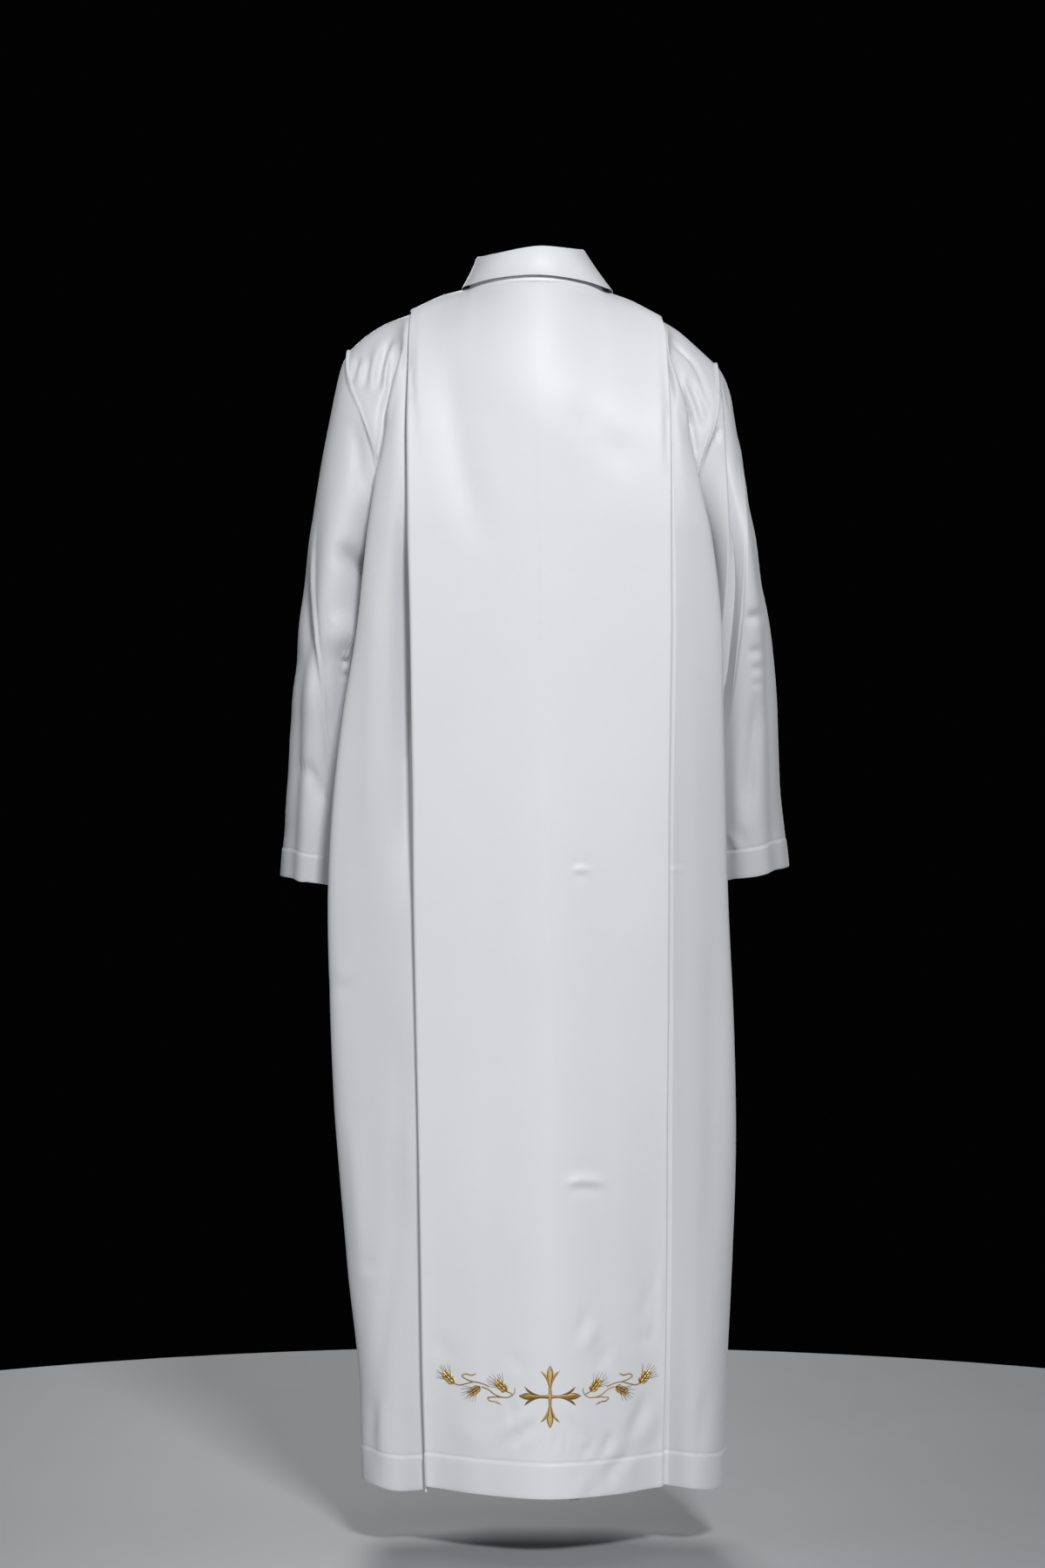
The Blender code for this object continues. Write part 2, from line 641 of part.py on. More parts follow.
def collar_lines():
    """The collar's seam, fold and edge, and how far its fall stands over a straight line, by column."""
    seam, fold, edge, bulge = [], [], [], []
    for side, k, front in collar_stations():
        seam.append(seam_point(side, k, front))
        turn = (180 - 90 * k / NECK_STEPS if front else 90 * k / NECK_STEPS) / 100
        line = {name: float(read(COLLAR, name, turn, key="turn")) for name in list(COLLAR)[1:]}
        fold_x = side * line["fold_x"] + COLLAR_LEAN * math.sin(math.radians(100 * turn))
        roll = -COLLAR_ROLL * fold_x
        fold.append((fold_x, line["fold_y"], line["fold_z"] + roll))
        edge_x = side * line["edge_x"]
        edge.append((edge_x, line["edge_y"], line["edge_z"] + COLLAR_TILT * edge_x))
        bulge.append(line["bulge"])
    return np.array(seam), np.array(fold), np.array(edge), np.array(bulge)


def collar_points():
    """The collar's middle surface: up the stand, over the fold and down the fall."""
    seam, fold, edge, bulge = collar_lines()
    fold[[0, -1], 0] += (fold[[1, -2], 0] - fold[[0, -1], 0]) * COLLAR_END_SHARE
    down = unit(edge - fold)
    up = unit(fold - seam)
    level = unit((fold - [0, COLLAR_MIDDLE_Y, 0]) * [1, 1, 0])
    rise = unit(up - down)
    out = unit(level - rise * np.sum(level * rise, axis=-1, keepdims=True))
    columns = []
    inner, outer = fold - out * COLLAR_BEND, fold + out * COLLAR_BEND
    for share in np.linspace(0, 1, STAND_STEPS + 1):
        columns.append(seam + (inner - seam) * share)
    for angle in np.linspace(0, math.pi, BEND_STEPS + 1)[1:-1]:
        columns.append(fold - out * COLLAR_BEND * math.cos(angle) + rise * COLLAR_BEND * math.sin(angle))
    for share in np.linspace(0, 1, FALL_STEPS + 1):
        columns.append(outer + (edge - outer) * share + out * (bulge * 4 * share * (1 - share))[:, None])
    return np.stack(columns, axis=1)


# ---------------------------------------------------------------- solids

def cloth_material(name):
    material = bpy.data.materials.new(name)
    material.use_nodes = True
    shader = material.node_tree.nodes["Principled BSDF"]
    shader.inputs["Base Color"].default_value = CLOTH
    shader.inputs["Roughness"].default_value = 0.55
    shader.inputs["Metallic"].default_value = 0.0
    shader.inputs["Sheen Weight"].default_value = 0.3
    material.diffuse_color = CLOTH
    return material


def build_wall(name, sheet):
    """A closed wall round a sheet, as an object."""
    half = (WALL / 2 + sheet.extra)[..., None]
    outer = sheet.points + sheet.normals * half
    inner = sheet.points - sheet.normals * half
    columns, rows = sheet.points.shape[:2]
    count = columns * rows
    vertices = np.concatenate([outer.reshape(-1, 3), inner.reshape(-1, 3)])
    index = np.arange(count).reshape(columns, rows)
    faces = []

    def quad(a, b, c, d):
        faces.append((int(a), int(b), int(c), int(d)))

    spans = columns if sheet.closed else columns - 1
    for i in range(spans):
        j = (i + 1) % columns
        for r in range(rows - 1):
            quad(index[i, r], index[j, r], index[j, r + 1], index[i, r + 1])
            quad(count + index[i, r], count + index[i, r + 1], count + index[j, r + 1], count + index[j, r])
        quad(index[j, 0], index[i, 0], count + index[i, 0], count + index[j, 0])
        quad(index[i, -1], index[j, -1], count + index[j, -1], count + index[i, -1])
    if not sheet.closed:
        for r in range(rows - 1):
            quad(index[0, r], index[0, r + 1], count + index[0, r + 1], count + index[0, r])
            quad(index[-1, r + 1], index[-1, r], count + index[-1, r], count + index[-1, r + 1])
    mesh = bpy.data.meshes.new(name)
    mesh.from_pydata([tuple(v) for v in vertices.tolist()], [], faces)
    shaped = bmesh.new()
    shaped.from_mesh(mesh)
    bmesh.ops.recalc_face_normals(shaped, faces=shaped.faces)
    shaped.to_mesh(mesh)
    shaped.free()
    mesh.shade_smooth()
    mesh.set_sharp_from_angle(angle=math.radians(50))
    mesh.materials.append(cloth_material(name))
    piece = bpy.data.objects.new(name, mesh)
    bpy.context.scene.collection.objects.link(piece)
    return piece


def clear_scene():
    for thing in list(bpy.data.objects):
        bpy.data.objects.remove(thing, do_unlink=True)


def into(points, edge, inside):
    return unit(points[inside] - points[edge])


def main():
    clear_scene()
    k_left, left_half = back_half(LEFT)
    k_right, right_half = back_half(RIGHT)
    back_points = np.concatenate([left_half, right_half[-2::-1]])
    back_k = np.concatenate([k_left, -k_right[-2::-1]])[:, 0]
    back = Sheet(back_points, facing(back_points, (0, 1, 0)))
    fronts = {}
    for side in (LEFT, RIGHT):
        points = front_half(side)
        fronts[side] = Sheet(points, facing(points, (0, -1, 0)))
    sleeves = {}
    for side in (LEFT, RIGHT):
        points = sleeve_points(side)
        sleeves[side] = Sheet(points, tube_normals(points), closed=True)
    collar_grid = collar_points()
    collar = Sheet(collar_grid, facing(collar_grid, (0, -1, 0)))
    # The stand's outer face is the one towards the body, so the normals point out at its lower half.
    if np.dot(collar.normals[NECK_STEPS * 2, 0], (0, 1, 0)) < 0:
        collar.normals = -collar.normals

    join_neck_and_shoulders(back, back_k, fronts, collar)
    join_sides(back, fronts)
    join_centre(fronts)
    join_armholes(back, fronts, sleeves)

    back.turn_hem()
    for side, name in SIDE_NAMES.items():
        fronts[side].turn_hem()
        sleeves[side].turn_hem()
        build_wall(f"front_{name}", fronts[side])
        build_wall(f"sleeve_{name}", sleeves[side])
    build_wall("back", back)
    build_wall("collar", collar)
    build_wall("front_placket", placket())


def neck_columns(side, front):
    """The collar's column at each neck column of a front or of one half of the back."""
    middle = 2 * NECK_STEPS
    steps = np.arange(NECK_STEPS + 1)
    if not front:
        return middle - side * steps
    return steps if side == LEFT else 2 * middle - steps


def join_neck_and_shoulders(back, back_k, fronts, collar):
    up = unit(collar.points[:, 1] - collar.points[:, 0])
    collar_normals = collar.normals[:, 0].copy()
    rim_common = np.zeros_like(up)
    rim_across = np.zeros_like(up)
    all_k = np.arange(SIDE_K + 1.0)
    neck = slice(0, NECK_STEPS + 1)
    shoulder = slice(NECK_STEPS, SIDE_K + 1)
    for side in (LEFT, RIGHT):
        k = all_k[:, None] + np.zeros(back.points.shape[1])
        base = back_surface(side, k)
        base_normals = normals_at(back_surface, side, k, (0, 1, 0))
        front = fronts[side]
        frames = {}
        for is_front, points, normals in ((False, base, base_normals), (True, front.points, front.normals)):
            at = neck_columns(side, is_front)
            inward = into(points, (neck, 0), (neck, 1))
            common, across = seam_frame(points[neck, 0], inward, up[at], normals[neck, 0], collar_normals[at])
            frames[is_front] = (common, across)
            rim_common[at] += common
            rim_across[at] -= across
        common, across = seam_frame(
            base[shoulder, 0], into(base, (shoulder, 0), (shoulder, 1)),
            into(front.points, (shoulder, 0), (shoulder, 1)),
            base_normals[shoulder, 0], front.normals[shoulder, 0],
        )
        common[0] = unit(frames[False][0][-1] + frames[True][0][-1])
        back_common = np.concatenate([frames[False][0][:-1], common])
        back_across = np.concatenate([frames[False][1][:-1], across])
        back_across[NECK_STEPS] += frames[False][1][-1]
        front_common = np.concatenate([frames[True][0][:-1], common])
        front_across = np.concatenate([frames[True][1][:-1], -across])
        front_across[NECK_STEPS] += frames[True][1][-1]
        here = np.nonzero(back_k >= 0 if side == LEFT else back_k < 0)[0]
        places = np.abs(back_k[here])
        common = unit(spread_over(all_k, back_common, places))
        set_edge(back, (here, 0), common, spread_over(all_k, back_across, places))
        set_edge(front, (slice(None), 0), front_common, front_across)
    set_edge(collar, (slice(None), 0), unit(rim_common), unit(rim_across))


def spread_over(knots, vectors, places):
    """Vectors read at places between knots."""
    return np.stack([np.interp(places, knots, vectors[:, axis]) for axis in range(3)], axis=-1)


def join_sides(back, fronts):
    rows = slice(ARMHOLE_ROWS, None)
    for side, column, inside in ((LEFT, 0, 1), (RIGHT, -1, -2)):
        front = fronts[side]
        common, across = seam_frame(
            back.points[column, rows], into(back.points, (column, rows), (inside, rows)),
            into(front.points, (-1, rows), (-2, rows)), back.normals[column, rows], front.normals[-1, rows],
        )
        set_edge(back, (column, rows), common, across)
        set_edge(front, (-1, rows), common, -across)


def join_centre(fronts):
    left, right = fronts[LEFT], fronts[RIGHT]
    common, across = seam_frame(
        left.points[0], into(left.points, 0, 1), into(right.points, 0, 1), left.normals[0], right.normals[0]
    )
    neck_normals = [left.normals[0, 0].copy(), right.normals[0, 0].copy()]
    set_edge(left, 0, common, across)
    set_edge(right, 0, common, -across)
    left.normals[0, 0], right.normals[0, 0] = neck_normals


def join_armholes(back, fronts, sleeves):
    part = slice(0, ARMHOLE_ROWS + 1)
    for side, column, inside in ((LEFT, 0, 1), (RIGHT, -1, -2)):
        sleeve, front = sleeves[side], fronts[side]
        up_front = slice(ARMHOLE_ROWS - 1, 0, -1)
        body_into = np.concatenate([
            into(back.points, (column, part), (inside, part)),
            into(front.points, (-1, up_front), (-2, up_front)),
        ])
        body_normals = np.concatenate([back.normals[column, part], front.normals[-1, up_front]])
        body_into[0] = unit(body_into[0] + into(front.points, (-1, 0), (-2, 0)))
        body_into[ARMHOLE_ROWS] = into(back.points, (column, ARMHOLE_ROWS), (column, ARMHOLE_ROWS + 1))
        body_normals[0] = unit(body_normals[0] + front.normals[-1, 0])
        loop = sleeve.points[:, 0]
        wrapped = np.concatenate([loop[-1:], loop, loop[:1]])

        def wrap(values):
            return np.concatenate([values[-1:], values, values[:1]])

        common, across = seam_frame(
            wrapped, wrap(body_into), wrap(into(sleeve.points, (slice(None), 0), (slice(None), 1))),
            wrap(body_normals), wrap(sleeve.normals[:, 0]),
        )
        common, across = common[1:-1], across[1:-1]
        set_edge(sleeve, (slice(None), 0), common, -across)
        set_edge(back, (column, part), common[part], across[part])
        back_to_front = np.concatenate([[0], np.arange(len(loop) - 1, ARMHOLE_ROWS - 1, -1)])
        set_edge(front, (-1, part), common[back_to_front], across[back_to_front])


def placket():
    """A plain strip over the front opening, moved out from the fronts' own points."""
    rows = ARMHOLE_ROWS + int(np.searchsorted(skirt_drops(), PLACKET_DROP))
    strips = []
    for side in (LEFT, RIGHT):
        full = np.zeros(ARMHOLE_ROWS + len(skirt_drops()))
        step = front_surface(side, np.array([0.0, 1.0])[:, None] + full)
        width = PLACKET_HALF / np.linalg.norm(step[1] - step[0], axis=-1)
        k = np.array([1.0, 0.5, 0.0])[:, None] * width
        points = front_surface(side, k)
        strips.append(points if side == LEFT else points[-2::-1])
    points = np.concatenate(strips)
    normals = facing(points, (0, -1, 0))
    points = points + normals * (WALL + SEAM_GAP)
    points = points[:, 1:]
    normals = normals[:, 1:]
    return Sheet(points[:, :rows], normals[:, :rows])


main()
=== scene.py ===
"""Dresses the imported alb: fine cloth with its creases, seams, stitching and gold embroidery.

Metres, +Z up. The wearer faces -Y, and their left is +X. The origin is the centre of the neck opening.
Tables are in millimetres. A drop is a distance below the origin. The form is the solids' own, from the
same sizes, divided more finely.
"""

import math

import bpy
import numpy as np
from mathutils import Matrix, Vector
from mathutils.bvhtree import BVHTree


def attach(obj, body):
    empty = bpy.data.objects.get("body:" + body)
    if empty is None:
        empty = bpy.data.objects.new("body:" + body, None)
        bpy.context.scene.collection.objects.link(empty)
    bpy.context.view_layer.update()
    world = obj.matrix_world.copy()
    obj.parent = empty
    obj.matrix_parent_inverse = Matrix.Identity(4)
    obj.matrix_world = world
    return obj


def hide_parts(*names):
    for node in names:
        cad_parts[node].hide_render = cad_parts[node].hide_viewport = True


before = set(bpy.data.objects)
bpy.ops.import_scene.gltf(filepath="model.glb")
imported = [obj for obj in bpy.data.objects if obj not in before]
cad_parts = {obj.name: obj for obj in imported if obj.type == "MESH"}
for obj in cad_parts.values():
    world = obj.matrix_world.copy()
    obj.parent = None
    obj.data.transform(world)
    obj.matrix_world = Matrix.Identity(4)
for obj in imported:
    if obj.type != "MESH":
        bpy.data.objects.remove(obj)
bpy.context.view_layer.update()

MM = 0.001
WALL = 0.8 * MM
TURNED_HEM = 0.8 * MM  # how much a turned hem adds to each face
LEFT, RIGHT = 1, -1
SIDE_NAMES = {LEFT: "left", RIGHT: "right"}

# How the form is divided: columns k and rows are those of the solids, in finer steps.
NECK_STEPS = 6  # from the centre to the neck point
YOKE_STEPS = 3  # from the neck point to the corner of the centre panel
OUTER_SHARES = (0.0, 0.09, 0.13, 0.18, 0.36, 0.55, 0.78, 1.0)  # from that corner to the shoulder point
GUIDE_STEPS = (1, 2, 2, 2)  # panel edge to swell, flare, tuck and side
ARMHOLE_ROWS = 60
ROW_STEP = 8.4 * MM
DENSE_DROPS = (0.684, 1.046)  # rows lie closer here, for the small dents
DENSE_REACH = 15 * MM
DENSE_STEP = 3 * MM
STEP = 0.2  # of the visible back, in the solid's columns
NECK_STEP = 0.25  # of the visible collar
UNDERLAY_STEPS = 8  # across each layer of the pleat
BEND_STEPS = 10  # round each of its folds, and round the collar's
PANEL_K = NECK_STEPS + YOKE_STEPS  # the column that runs down the panel's edge
SIDE_K = PANEL_K + len(OUTER_SHARES) - 1  # the column that runs down the armhole and the side
FRONT_COLUMNS = round(SIDE_K / STEP / 1.3) + 1

UNDERARM_DROP = 288 * MM
HEM_DROP = 1398 * MM
SKIRT_HEM = 40 * MM
HEM_ROW_GAP = 4 * MM  # from a sleeve's last plain row to its hem's stitches
SKIRT_ROW_GAP = 5 * MM  # and from the skirt's
ROWS_BELOW_STITCH, ROWS_ABOVE_EDGE = (-1.5, 0, 1.5, 4, 10, 18), (10, 4, 1.2, 0)  # of a hem, in mm
SLEEVE_HEM = 34 * MM
PLEAT_DEPTH = 118 * MM
PLEAT_TOP_SPACING = 3.0 * MM
PLEAT_SPACING = 8.0 * MM
PLEAT_OPEN_DROP = 160 * MM  # where the pleat's layers have reached their full spacing
SHOULDER_ROUNDNESS = 1.12
PANEL_ROUNDNESS = 0.1  # how far the panel's quarter stands over a straight line, as a share of its bulge
SWELL_REACH = 0.3  # where the back's swell is full, as a share of the armhole's height
TUCK_REACH = 0.6
SIDE_TURN = 0.7  # where the sides begin to turn towards each other, above the underarm
NECK_CURVE = 1.4  # how late the neck seam rises towards the neck points
SEAM_BLUR = 1.7  # how many columns the turns of the seam spread over, a little below it
SEAM_BLUR_REACH = 0.16  # and where they have spread so far, as a share of the armhole's height
SEAM_END_STEPS = 3  # columns over which the spreading ends at the armhole
BLUR_STEPS = 9
SUNK_START = 5.4  # the column where the pleat's layers begin to rise from the seam
SUNK_STEPS = 5.6
SUNK_REACH = 0.45
INNER_SAG_STEPS = 1.1  # how wide the inner folds sag
NORMAL_REACH = 0.05  # columns to each side of a point, for its normal


def table(names, text):
    """The text's columns by name, from millimetres to metres. Its rows end with a line or a semicolon."""
    rows = [[float(value) for value in row.split()] for row in text.strip().replace(";", "\n").splitlines()]
    return {name: np.array(column) * MM for name, column in zip(names.split(), zip(*rows))}


def pairs(text):
    """The numbers of a text such as "3,4 5,6" in twos."""
    return [[float(value) for value in pair.split(",")] for pair in text.split()]


# The seams at the neck and along the shoulders.
NECK = {"half_left": 0.080, "half_right": 0.078, "point_y": -0.008, "back_y": 0.062, "front_y": -0.082}
NECK_DROP = {"back": -0.002, "left": -0.002, "right": 0.001, "front": 0.050}
SHOULDER = table("left left_drop right right_drop", """
80 -2 78 1
114 9 110 14
149 28 146 36
185 43 168 49.5
204 55.5 188 67
220 70 208 85.5
""")
SHOULDER_TIP_Y = -0.012

# The back's widths, from the middle plane to the pleat's edge and to the widest fold.
WIDTHS = table("drop centre panel_left panel_right flare_left flare_right", """
20 0 148 144 160 157
60 0 151 151 161 157
110 0 151 153 170 164
170 0 151 154 180 175
230 -1 150 154 188 187
300 -2 149 154 197 201
400 -3 146 154 209 213
500 -6 144 152 226 216
600 -9 142 150 238 219
700 -11 141 149 244 222
850 -14 138 148 242 228
1000 -15 135 147 235 231
1150 -15 133 147 222 227
1280 -15 132 146 208 221
1400 -15 130 145 204 218
""")
# The back's depths. Swell is how far the side stands out between the panel and the flare. Tuck is how far
# it is drawn in behind the arm, and side_in how far the side seam lies inside the flare.
DEPTHS = table("drop centre panel swell flare tuck side_in side", """
288 108 97 5 84 6 6 0
400 110 97 5 80 8 17 -4
550 113 96 5 71 10 28 -8
700 117 94 6 60 8 27 -12
850 121 91 9 50 2 13 -16
1000 126 88 13 45 0 9 -20
1150 131 84 17 42 -2 9 -22
1280 135 80 21 41 -2 10 -24
1400 139 72 26 41 -2 11 -26
""")
# The front's depths and widths below the underarm.
FRONTS = table("drop centre breast_x breast outer_x outer", """
288 -132 86 -122 156 -82
400 -131 90 -121 162 -80
550 -134 95 -122 168 -82
700 -139 100 -125 178 -85
850 -145 106 -130 193 -90
1000 -150 110 -133 198 -94
1150 -153 110 -135 194 -97
1280 -155 108 -138 186 -100
1400 -157 108 -140 184 -103
""")
# Soft folds that deepen towards the hem: where they run, how far they stand out, and how wide they are.
FRONT_FOLDS = table("place height width", "210 9 60; 430 -9 70; 660 10 80")
FOLD_START_DROP = 330 * MM
# How far the hem hangs below its level: at the panel's middle, beside the pleat and at its inner fold.
HEM_SAG = {
    LEFT: {"panel": 4 * MM, "side": 8 * MM, "side_k": 9.4, "side_width": 1.6, "inner": 0.0},
    RIGHT: {"panel": 4 * MM, "side": 8 * MM, "side_k": 11.2, "side_width": 1.7, "inner": 9 * MM},
}
SAG_START_DROP = 1150 * MM

# The armhole's loop, from the shoulder point down the back, under the arm and up the front.
ARMHOLE = table("drop left right y", """
70 220 208 -12
103 221 211 26
152 202 205 53
205 187 190 60
256 184 186 42
288 190 192 0
260 183 185 -43
209 179 181 -68
150 189 190 -71
100 210 206 -48
""")
RIGHT_SHOULDER_DROP = 15.5 * MM  # how much lower the right shoulder point lies

# The sleeves' sections below the underarm.
SLEEVE_LEFT = table("drop outer inner front back", """
400 279 207 -82 59
500 290 217 -102 39
600 298 223 -129 13
700 306.5 226 -157 -14
""")
SLEEVE_RIGHT = table("drop outer inner front back", """
400 276 206 -82 59
500 284 206 -102 39
600 289 206 -129 13
700 299.5 209 -157 -14
""")
SLEEVE_CAP_ROWS = 6
SLEEVE_BACK_COLUMNS = 176
SLEEVE_FRONT_COLUMNS = 64
SLEEVE_ROWS = 5
SLEEVE_FINER = 13  # rows of the visible sleeve to one of the solid's
SLEEVE_SEAM_SHARE, SLEEVE_SEAM_ROWS = 0.05, 7  # the part of the sleeve's head beside its seam, and its rows
CUFF_DROPS = {LEFT: (0.695, 0.709), RIGHT: (0.684, 0.704)}  # at the outer and the inner side
SLEEVE_SQUARENESS = 0.86
SLEEVE_SWING = {LEFT: 0.2, RIGHT: 0.02}  # how far a sleeve's outer line swings out as it leaves the shoulder
SLEEVE_INNER_SWING = 0.45
CAP_ROUND = {LEFT: 5 * MM, RIGHT: 10 * MM}  # how far the sleeve's head stands out
CAP_PLACE = {LEFT: 0.08, RIGHT: 0.12}  # and where, as a share of the way to the first section
SLEEVE_FOLD_REACH = 440 * MM  # below the armhole, where a sleeve's long folds have their full depth
# Long folds in a sleeve: the turn round it in thousandths, how far they stand out, and how wide they are.
SLEEVE_FOLDS = table("turn height width", "130 -5 60; 235 5 70; 345 -4 60; 700 5 90")

# The collar by its turn round the neck, in tenths of a degree from the centre back.
COLLAR = table("turn fold_x fold_y fold_z edge_x edge_y edge_z bulge", """
-450 -43 37 38 -59 45 4 2
0 0 54 41 0 65.5 8.5 2.5
450 43 37 38 59 45 4 2
675 56 18 38.5 80 22 0.6 0.5
900 62 -3 40 89 -8 0.6 -1
1350 50 -41 14 76 -63.5 -27 1
1650 18 -60 -6 50 -97 -62 1.5
1800 3 -64 -12 32 -108 -80 1.5
""")
COLLAR_LEAN = 8 * MM  # how far the fold leans to the left
COLLAR_ROLL = 0.072  # how much it drops towards the left
COLLAR_TILT = 0.02  # how much its edge rises towards the left
COLLAR_BEND = 2.3 * MM
NECK_MIDDLE = (0, -0.004, 0)
STAND_STEPS = 9
FALL_STEPS = 16

PLACKET_HALF = 18 * MM
PLACKET_DROP = 620 * MM

SINGLE_LAYER_SHADE = 0.85  # how white one layer of the cloth is painted beside the doubled parts: partly its own sheerness, partly painted shade on the sides, shoulders and sleeves


# ---------------------------------------------------------------- curves

def unit(vectors):
    return vectors / np.maximum(np.linalg.norm(vectors, axis=-1, keepdims=True), 1e-12)


def smooth_step(value):
    value = np.clip(value, 0.0, 1.0)
    return value * value * (3 - 2 * value)


def slopes_of(knots, values):
    """The slope at each knot, from the knots beside it."""
    steps = np.diff(knots, axis=0)
    rises = np.diff(values, axis=0) / steps
    inner = (steps[:-1] * rises[1:] + steps[1:] * rises[:-1]) / (steps[:-1] + steps[1:])
    return np.concatenate([rises[:1], inner, rises[-1:]])


def hermite(start, end, slope_start, slope_end, length, share):
    """The point at a share of the way along a cubic from start to end."""
    square, cube = share**2, share**3
    return (
        (2 * cube - 3 * square + 1) * start
        + (cube - 2 * square + share) * length * slope_start
        + (3 * square - 2 * cube) * end
        + (cube - square) * length * slope_end
    )


def read(rows, column, drop, key="drop"):
    """A smooth reading of one column of a table."""
    knots, values = rows[key], rows[column]
    drop = np.clip(np.asarray(drop, float), knots[0], knots[-1])
    slopes = slopes_of(knots, values)
    index = np.clip(np.searchsorted(knots, drop, side="right") - 1, 0, len(knots) - 2)
    length = knots[index + 1] - knots[index]
    share = (drop - knots[index]) / length
    return hermite(values[index], values[index + 1], slopes[index], slopes[index + 1], length, share)


def lengths_along(line):
    """How far along a line of points each one stands."""
    return np.concatenate([[0], np.cumsum(np.linalg.norm(np.diff(line, axis=0), axis=-1))])


def smooth_line(places, step, fewest):
    """A smooth line through flat places in mm, in steps, and how far along it each of its points stands."""
    places = np.array(places) * MM
    knots = lengths_along(places)
    rows = {"at": knots, "x": places[:, 0], "y": places[:, 1]}
    at = np.linspace(0, knots[-1], max(fewest, int(knots[-1] / step)))
    return np.stack([read(rows, "x", at, key="at"), read(rows, "y", at, key="at")], axis=-1), at


def points_at(at, knots, line):
    """The points at some places along a line whose own points stand at the knots."""
    return np.stack([np.interp(at, knots, column) for column in line.T], axis=-1)


def loft(guides, segment, share):
    """Points between guide lines (guide, row, xyz), where segment and share are (column, row)."""
    chords = np.linalg.norm(np.diff(guides, axis=0), axis=-1, keepdims=True)
    knots = np.concatenate([np.zeros_like(chords[:1]), np.cumsum(chords, axis=0)])
    slopes = slopes_of(knots, guides)
    row = np.arange(guides.shape[1])[None, :]
    length = (knots[segment + 1, row] - knots[segment, row])
    return hermite(
        guides[segment, row], guides[segment + 1, row], slopes[segment, row], slopes[segment + 1, row],
        length, share[..., None],
    )


def pick(side, rows, name):
    return rows[f"{name}_{SIDE_NAMES[side]}"]


# ---------------------------------------------------------------- rows and seams

def hem_rows(stitch, end):
    """Rows from a stitch line to an edge: close together at both."""
    return np.concatenate([stitch + np.array(ROWS_BELOW_STITCH) * MM, end - np.array(ROWS_ABOVE_EDGE) * MM])


def skirt_drops():
    """The rows below the underarm, closer together where dents lie and at the turned hem."""
    stitch = HEM_DROP - SKIRT_HEM
    drops = [UNDERARM_DROP]
    while drops[-1] < stitch - SKIRT_ROW_GAP - DENSE_STEP:
        near = min(abs(drops[-1] + 2 * MM - place) for place in DENSE_DROPS)
        drops.append(drops[-1] + (DENSE_STEP if near < DENSE_REACH else ROW_STEP))
    drops[-1] = stitch - SKIRT_ROW_GAP
    return np.concatenate([drops, hem_rows(stitch, HEM_DROP)])


def row_count():
    """How many rows the back and the fronts have."""
    return ARMHOLE_ROWS + len(skirt_drops())


def seam_point(side, k, front):
    """The top edge of a front or of the back at column k: round the neck, then along the shoulder."""
    k = np.asarray(k, float)
    half = pick(side, NECK, "half")
    turn = np.clip(k / NECK_STEPS, 0, 1) * math.pi / 2
    middle_y = NECK["front_y"] if front else NECK["back_y"]
    middle_drop = NECK_DROP["front" if front else "back"]
    point_drop = NECK_DROP[SIDE_NAMES[side]]
    neck = np.stack([
        side * half * np.sin(turn),
        NECK["point_y"] + (middle_y - NECK["point_y"]) * np.cos(turn),
        -(point_drop + (middle_drop - point_drop) * np.cos(turn) ** NECK_CURVE),
    ], axis=-1)
    name = SIDE_NAMES[side]
    xs = SHOULDER[name]
    corner = xs[2]
    outer = np.interp(k - PANEL_K, np.arange(len(OUTER_SHARES)), OUTER_SHARES)
    along = np.where(
        k < PANEL_K,
        xs[0] + (corner - xs[0]) * np.clip((k - NECK_STEPS) / YOKE_STEPS, 0, 1),
        corner + (xs[-1] - corner) * outer,
    )
    shoulder_y = NECK["point_y"] + (SHOULDER_TIP_Y - NECK["point_y"]) * (along - xs[0]) / (xs[-1] - xs[0])
    shoulder = np.stack([side * along, shoulder_y, -read(SHOULDER, f"{name}_drop", along, key=name)], axis=-1)
    return np.where((k < NECK_STEPS)[..., None], neck, shoulder)


def armhole_line(side, front):
    """The armhole from the shoulder point to the underarm, one point a row."""
    count = len(ARMHOLE["drop"])
    loop = np.stack([side * ARMHOLE[SIDE_NAMES[side]], ARMHOLE["y"], -ARMHOLE["drop"]], axis=-1)
    if side == RIGHT:
        height = (UNDERARM_DROP - ARMHOLE["drop"]) / (UNDERARM_DROP - ARMHOLE["drop"][0])
        loop[:, 2] -= RIGHT_SHOULDER_DROP * height
    turns = np.concatenate([loop[-2:], loop, loop[:3]])
    knots = np.arange(-2, count + 3, dtype=float)[:, None]
    slopes = slopes_of(knots, turns)
    half = count / 2
    at = np.linspace(0, half, ARMHOLE_ROWS + 1)
    if front:
        at = (count - at) % count
    index = np.floor(at).astype(int) + 2
    share = (at - np.floor(at))[:, None]
    return hermite(turns[index], turns[index + 1], slopes[index], slopes[index + 1], 1.0, share)


def guide_line(top, x_of, y_of):
    """A line from the seam over the shoulder and down to the hem. x_of and y_of read a drop."""
    turn = np.linspace(0, math.pi / 2, ARMHOLE_ROWS + 1)
    fall = 1 - np.cos(turn) ** SHOULDER_ROUNDNESS
    reach = np.sin(turn) ** SHOULDER_ROUNDNESS
    top_drop = -top[2]
    upper_drop = top_drop + (UNDERARM_DROP - top_drop) * fall
    upper_y = top[1] + (y_of(UNDERARM_DROP) - top[1]) * reach
    lower_drop = skirt_drops()[1:]
    drop = np.concatenate([upper_drop, lower_drop])
    y = np.concatenate([upper_y, y_of(lower_drop)])
    x = x_of(drop)
    x = x + (top[0] - x[0]) * np.clip(1 - np.arange(len(drop)) / ARMHOLE_ROWS, 0, 1) ** 2
    return np.stack([x, y, -drop], axis=-1)


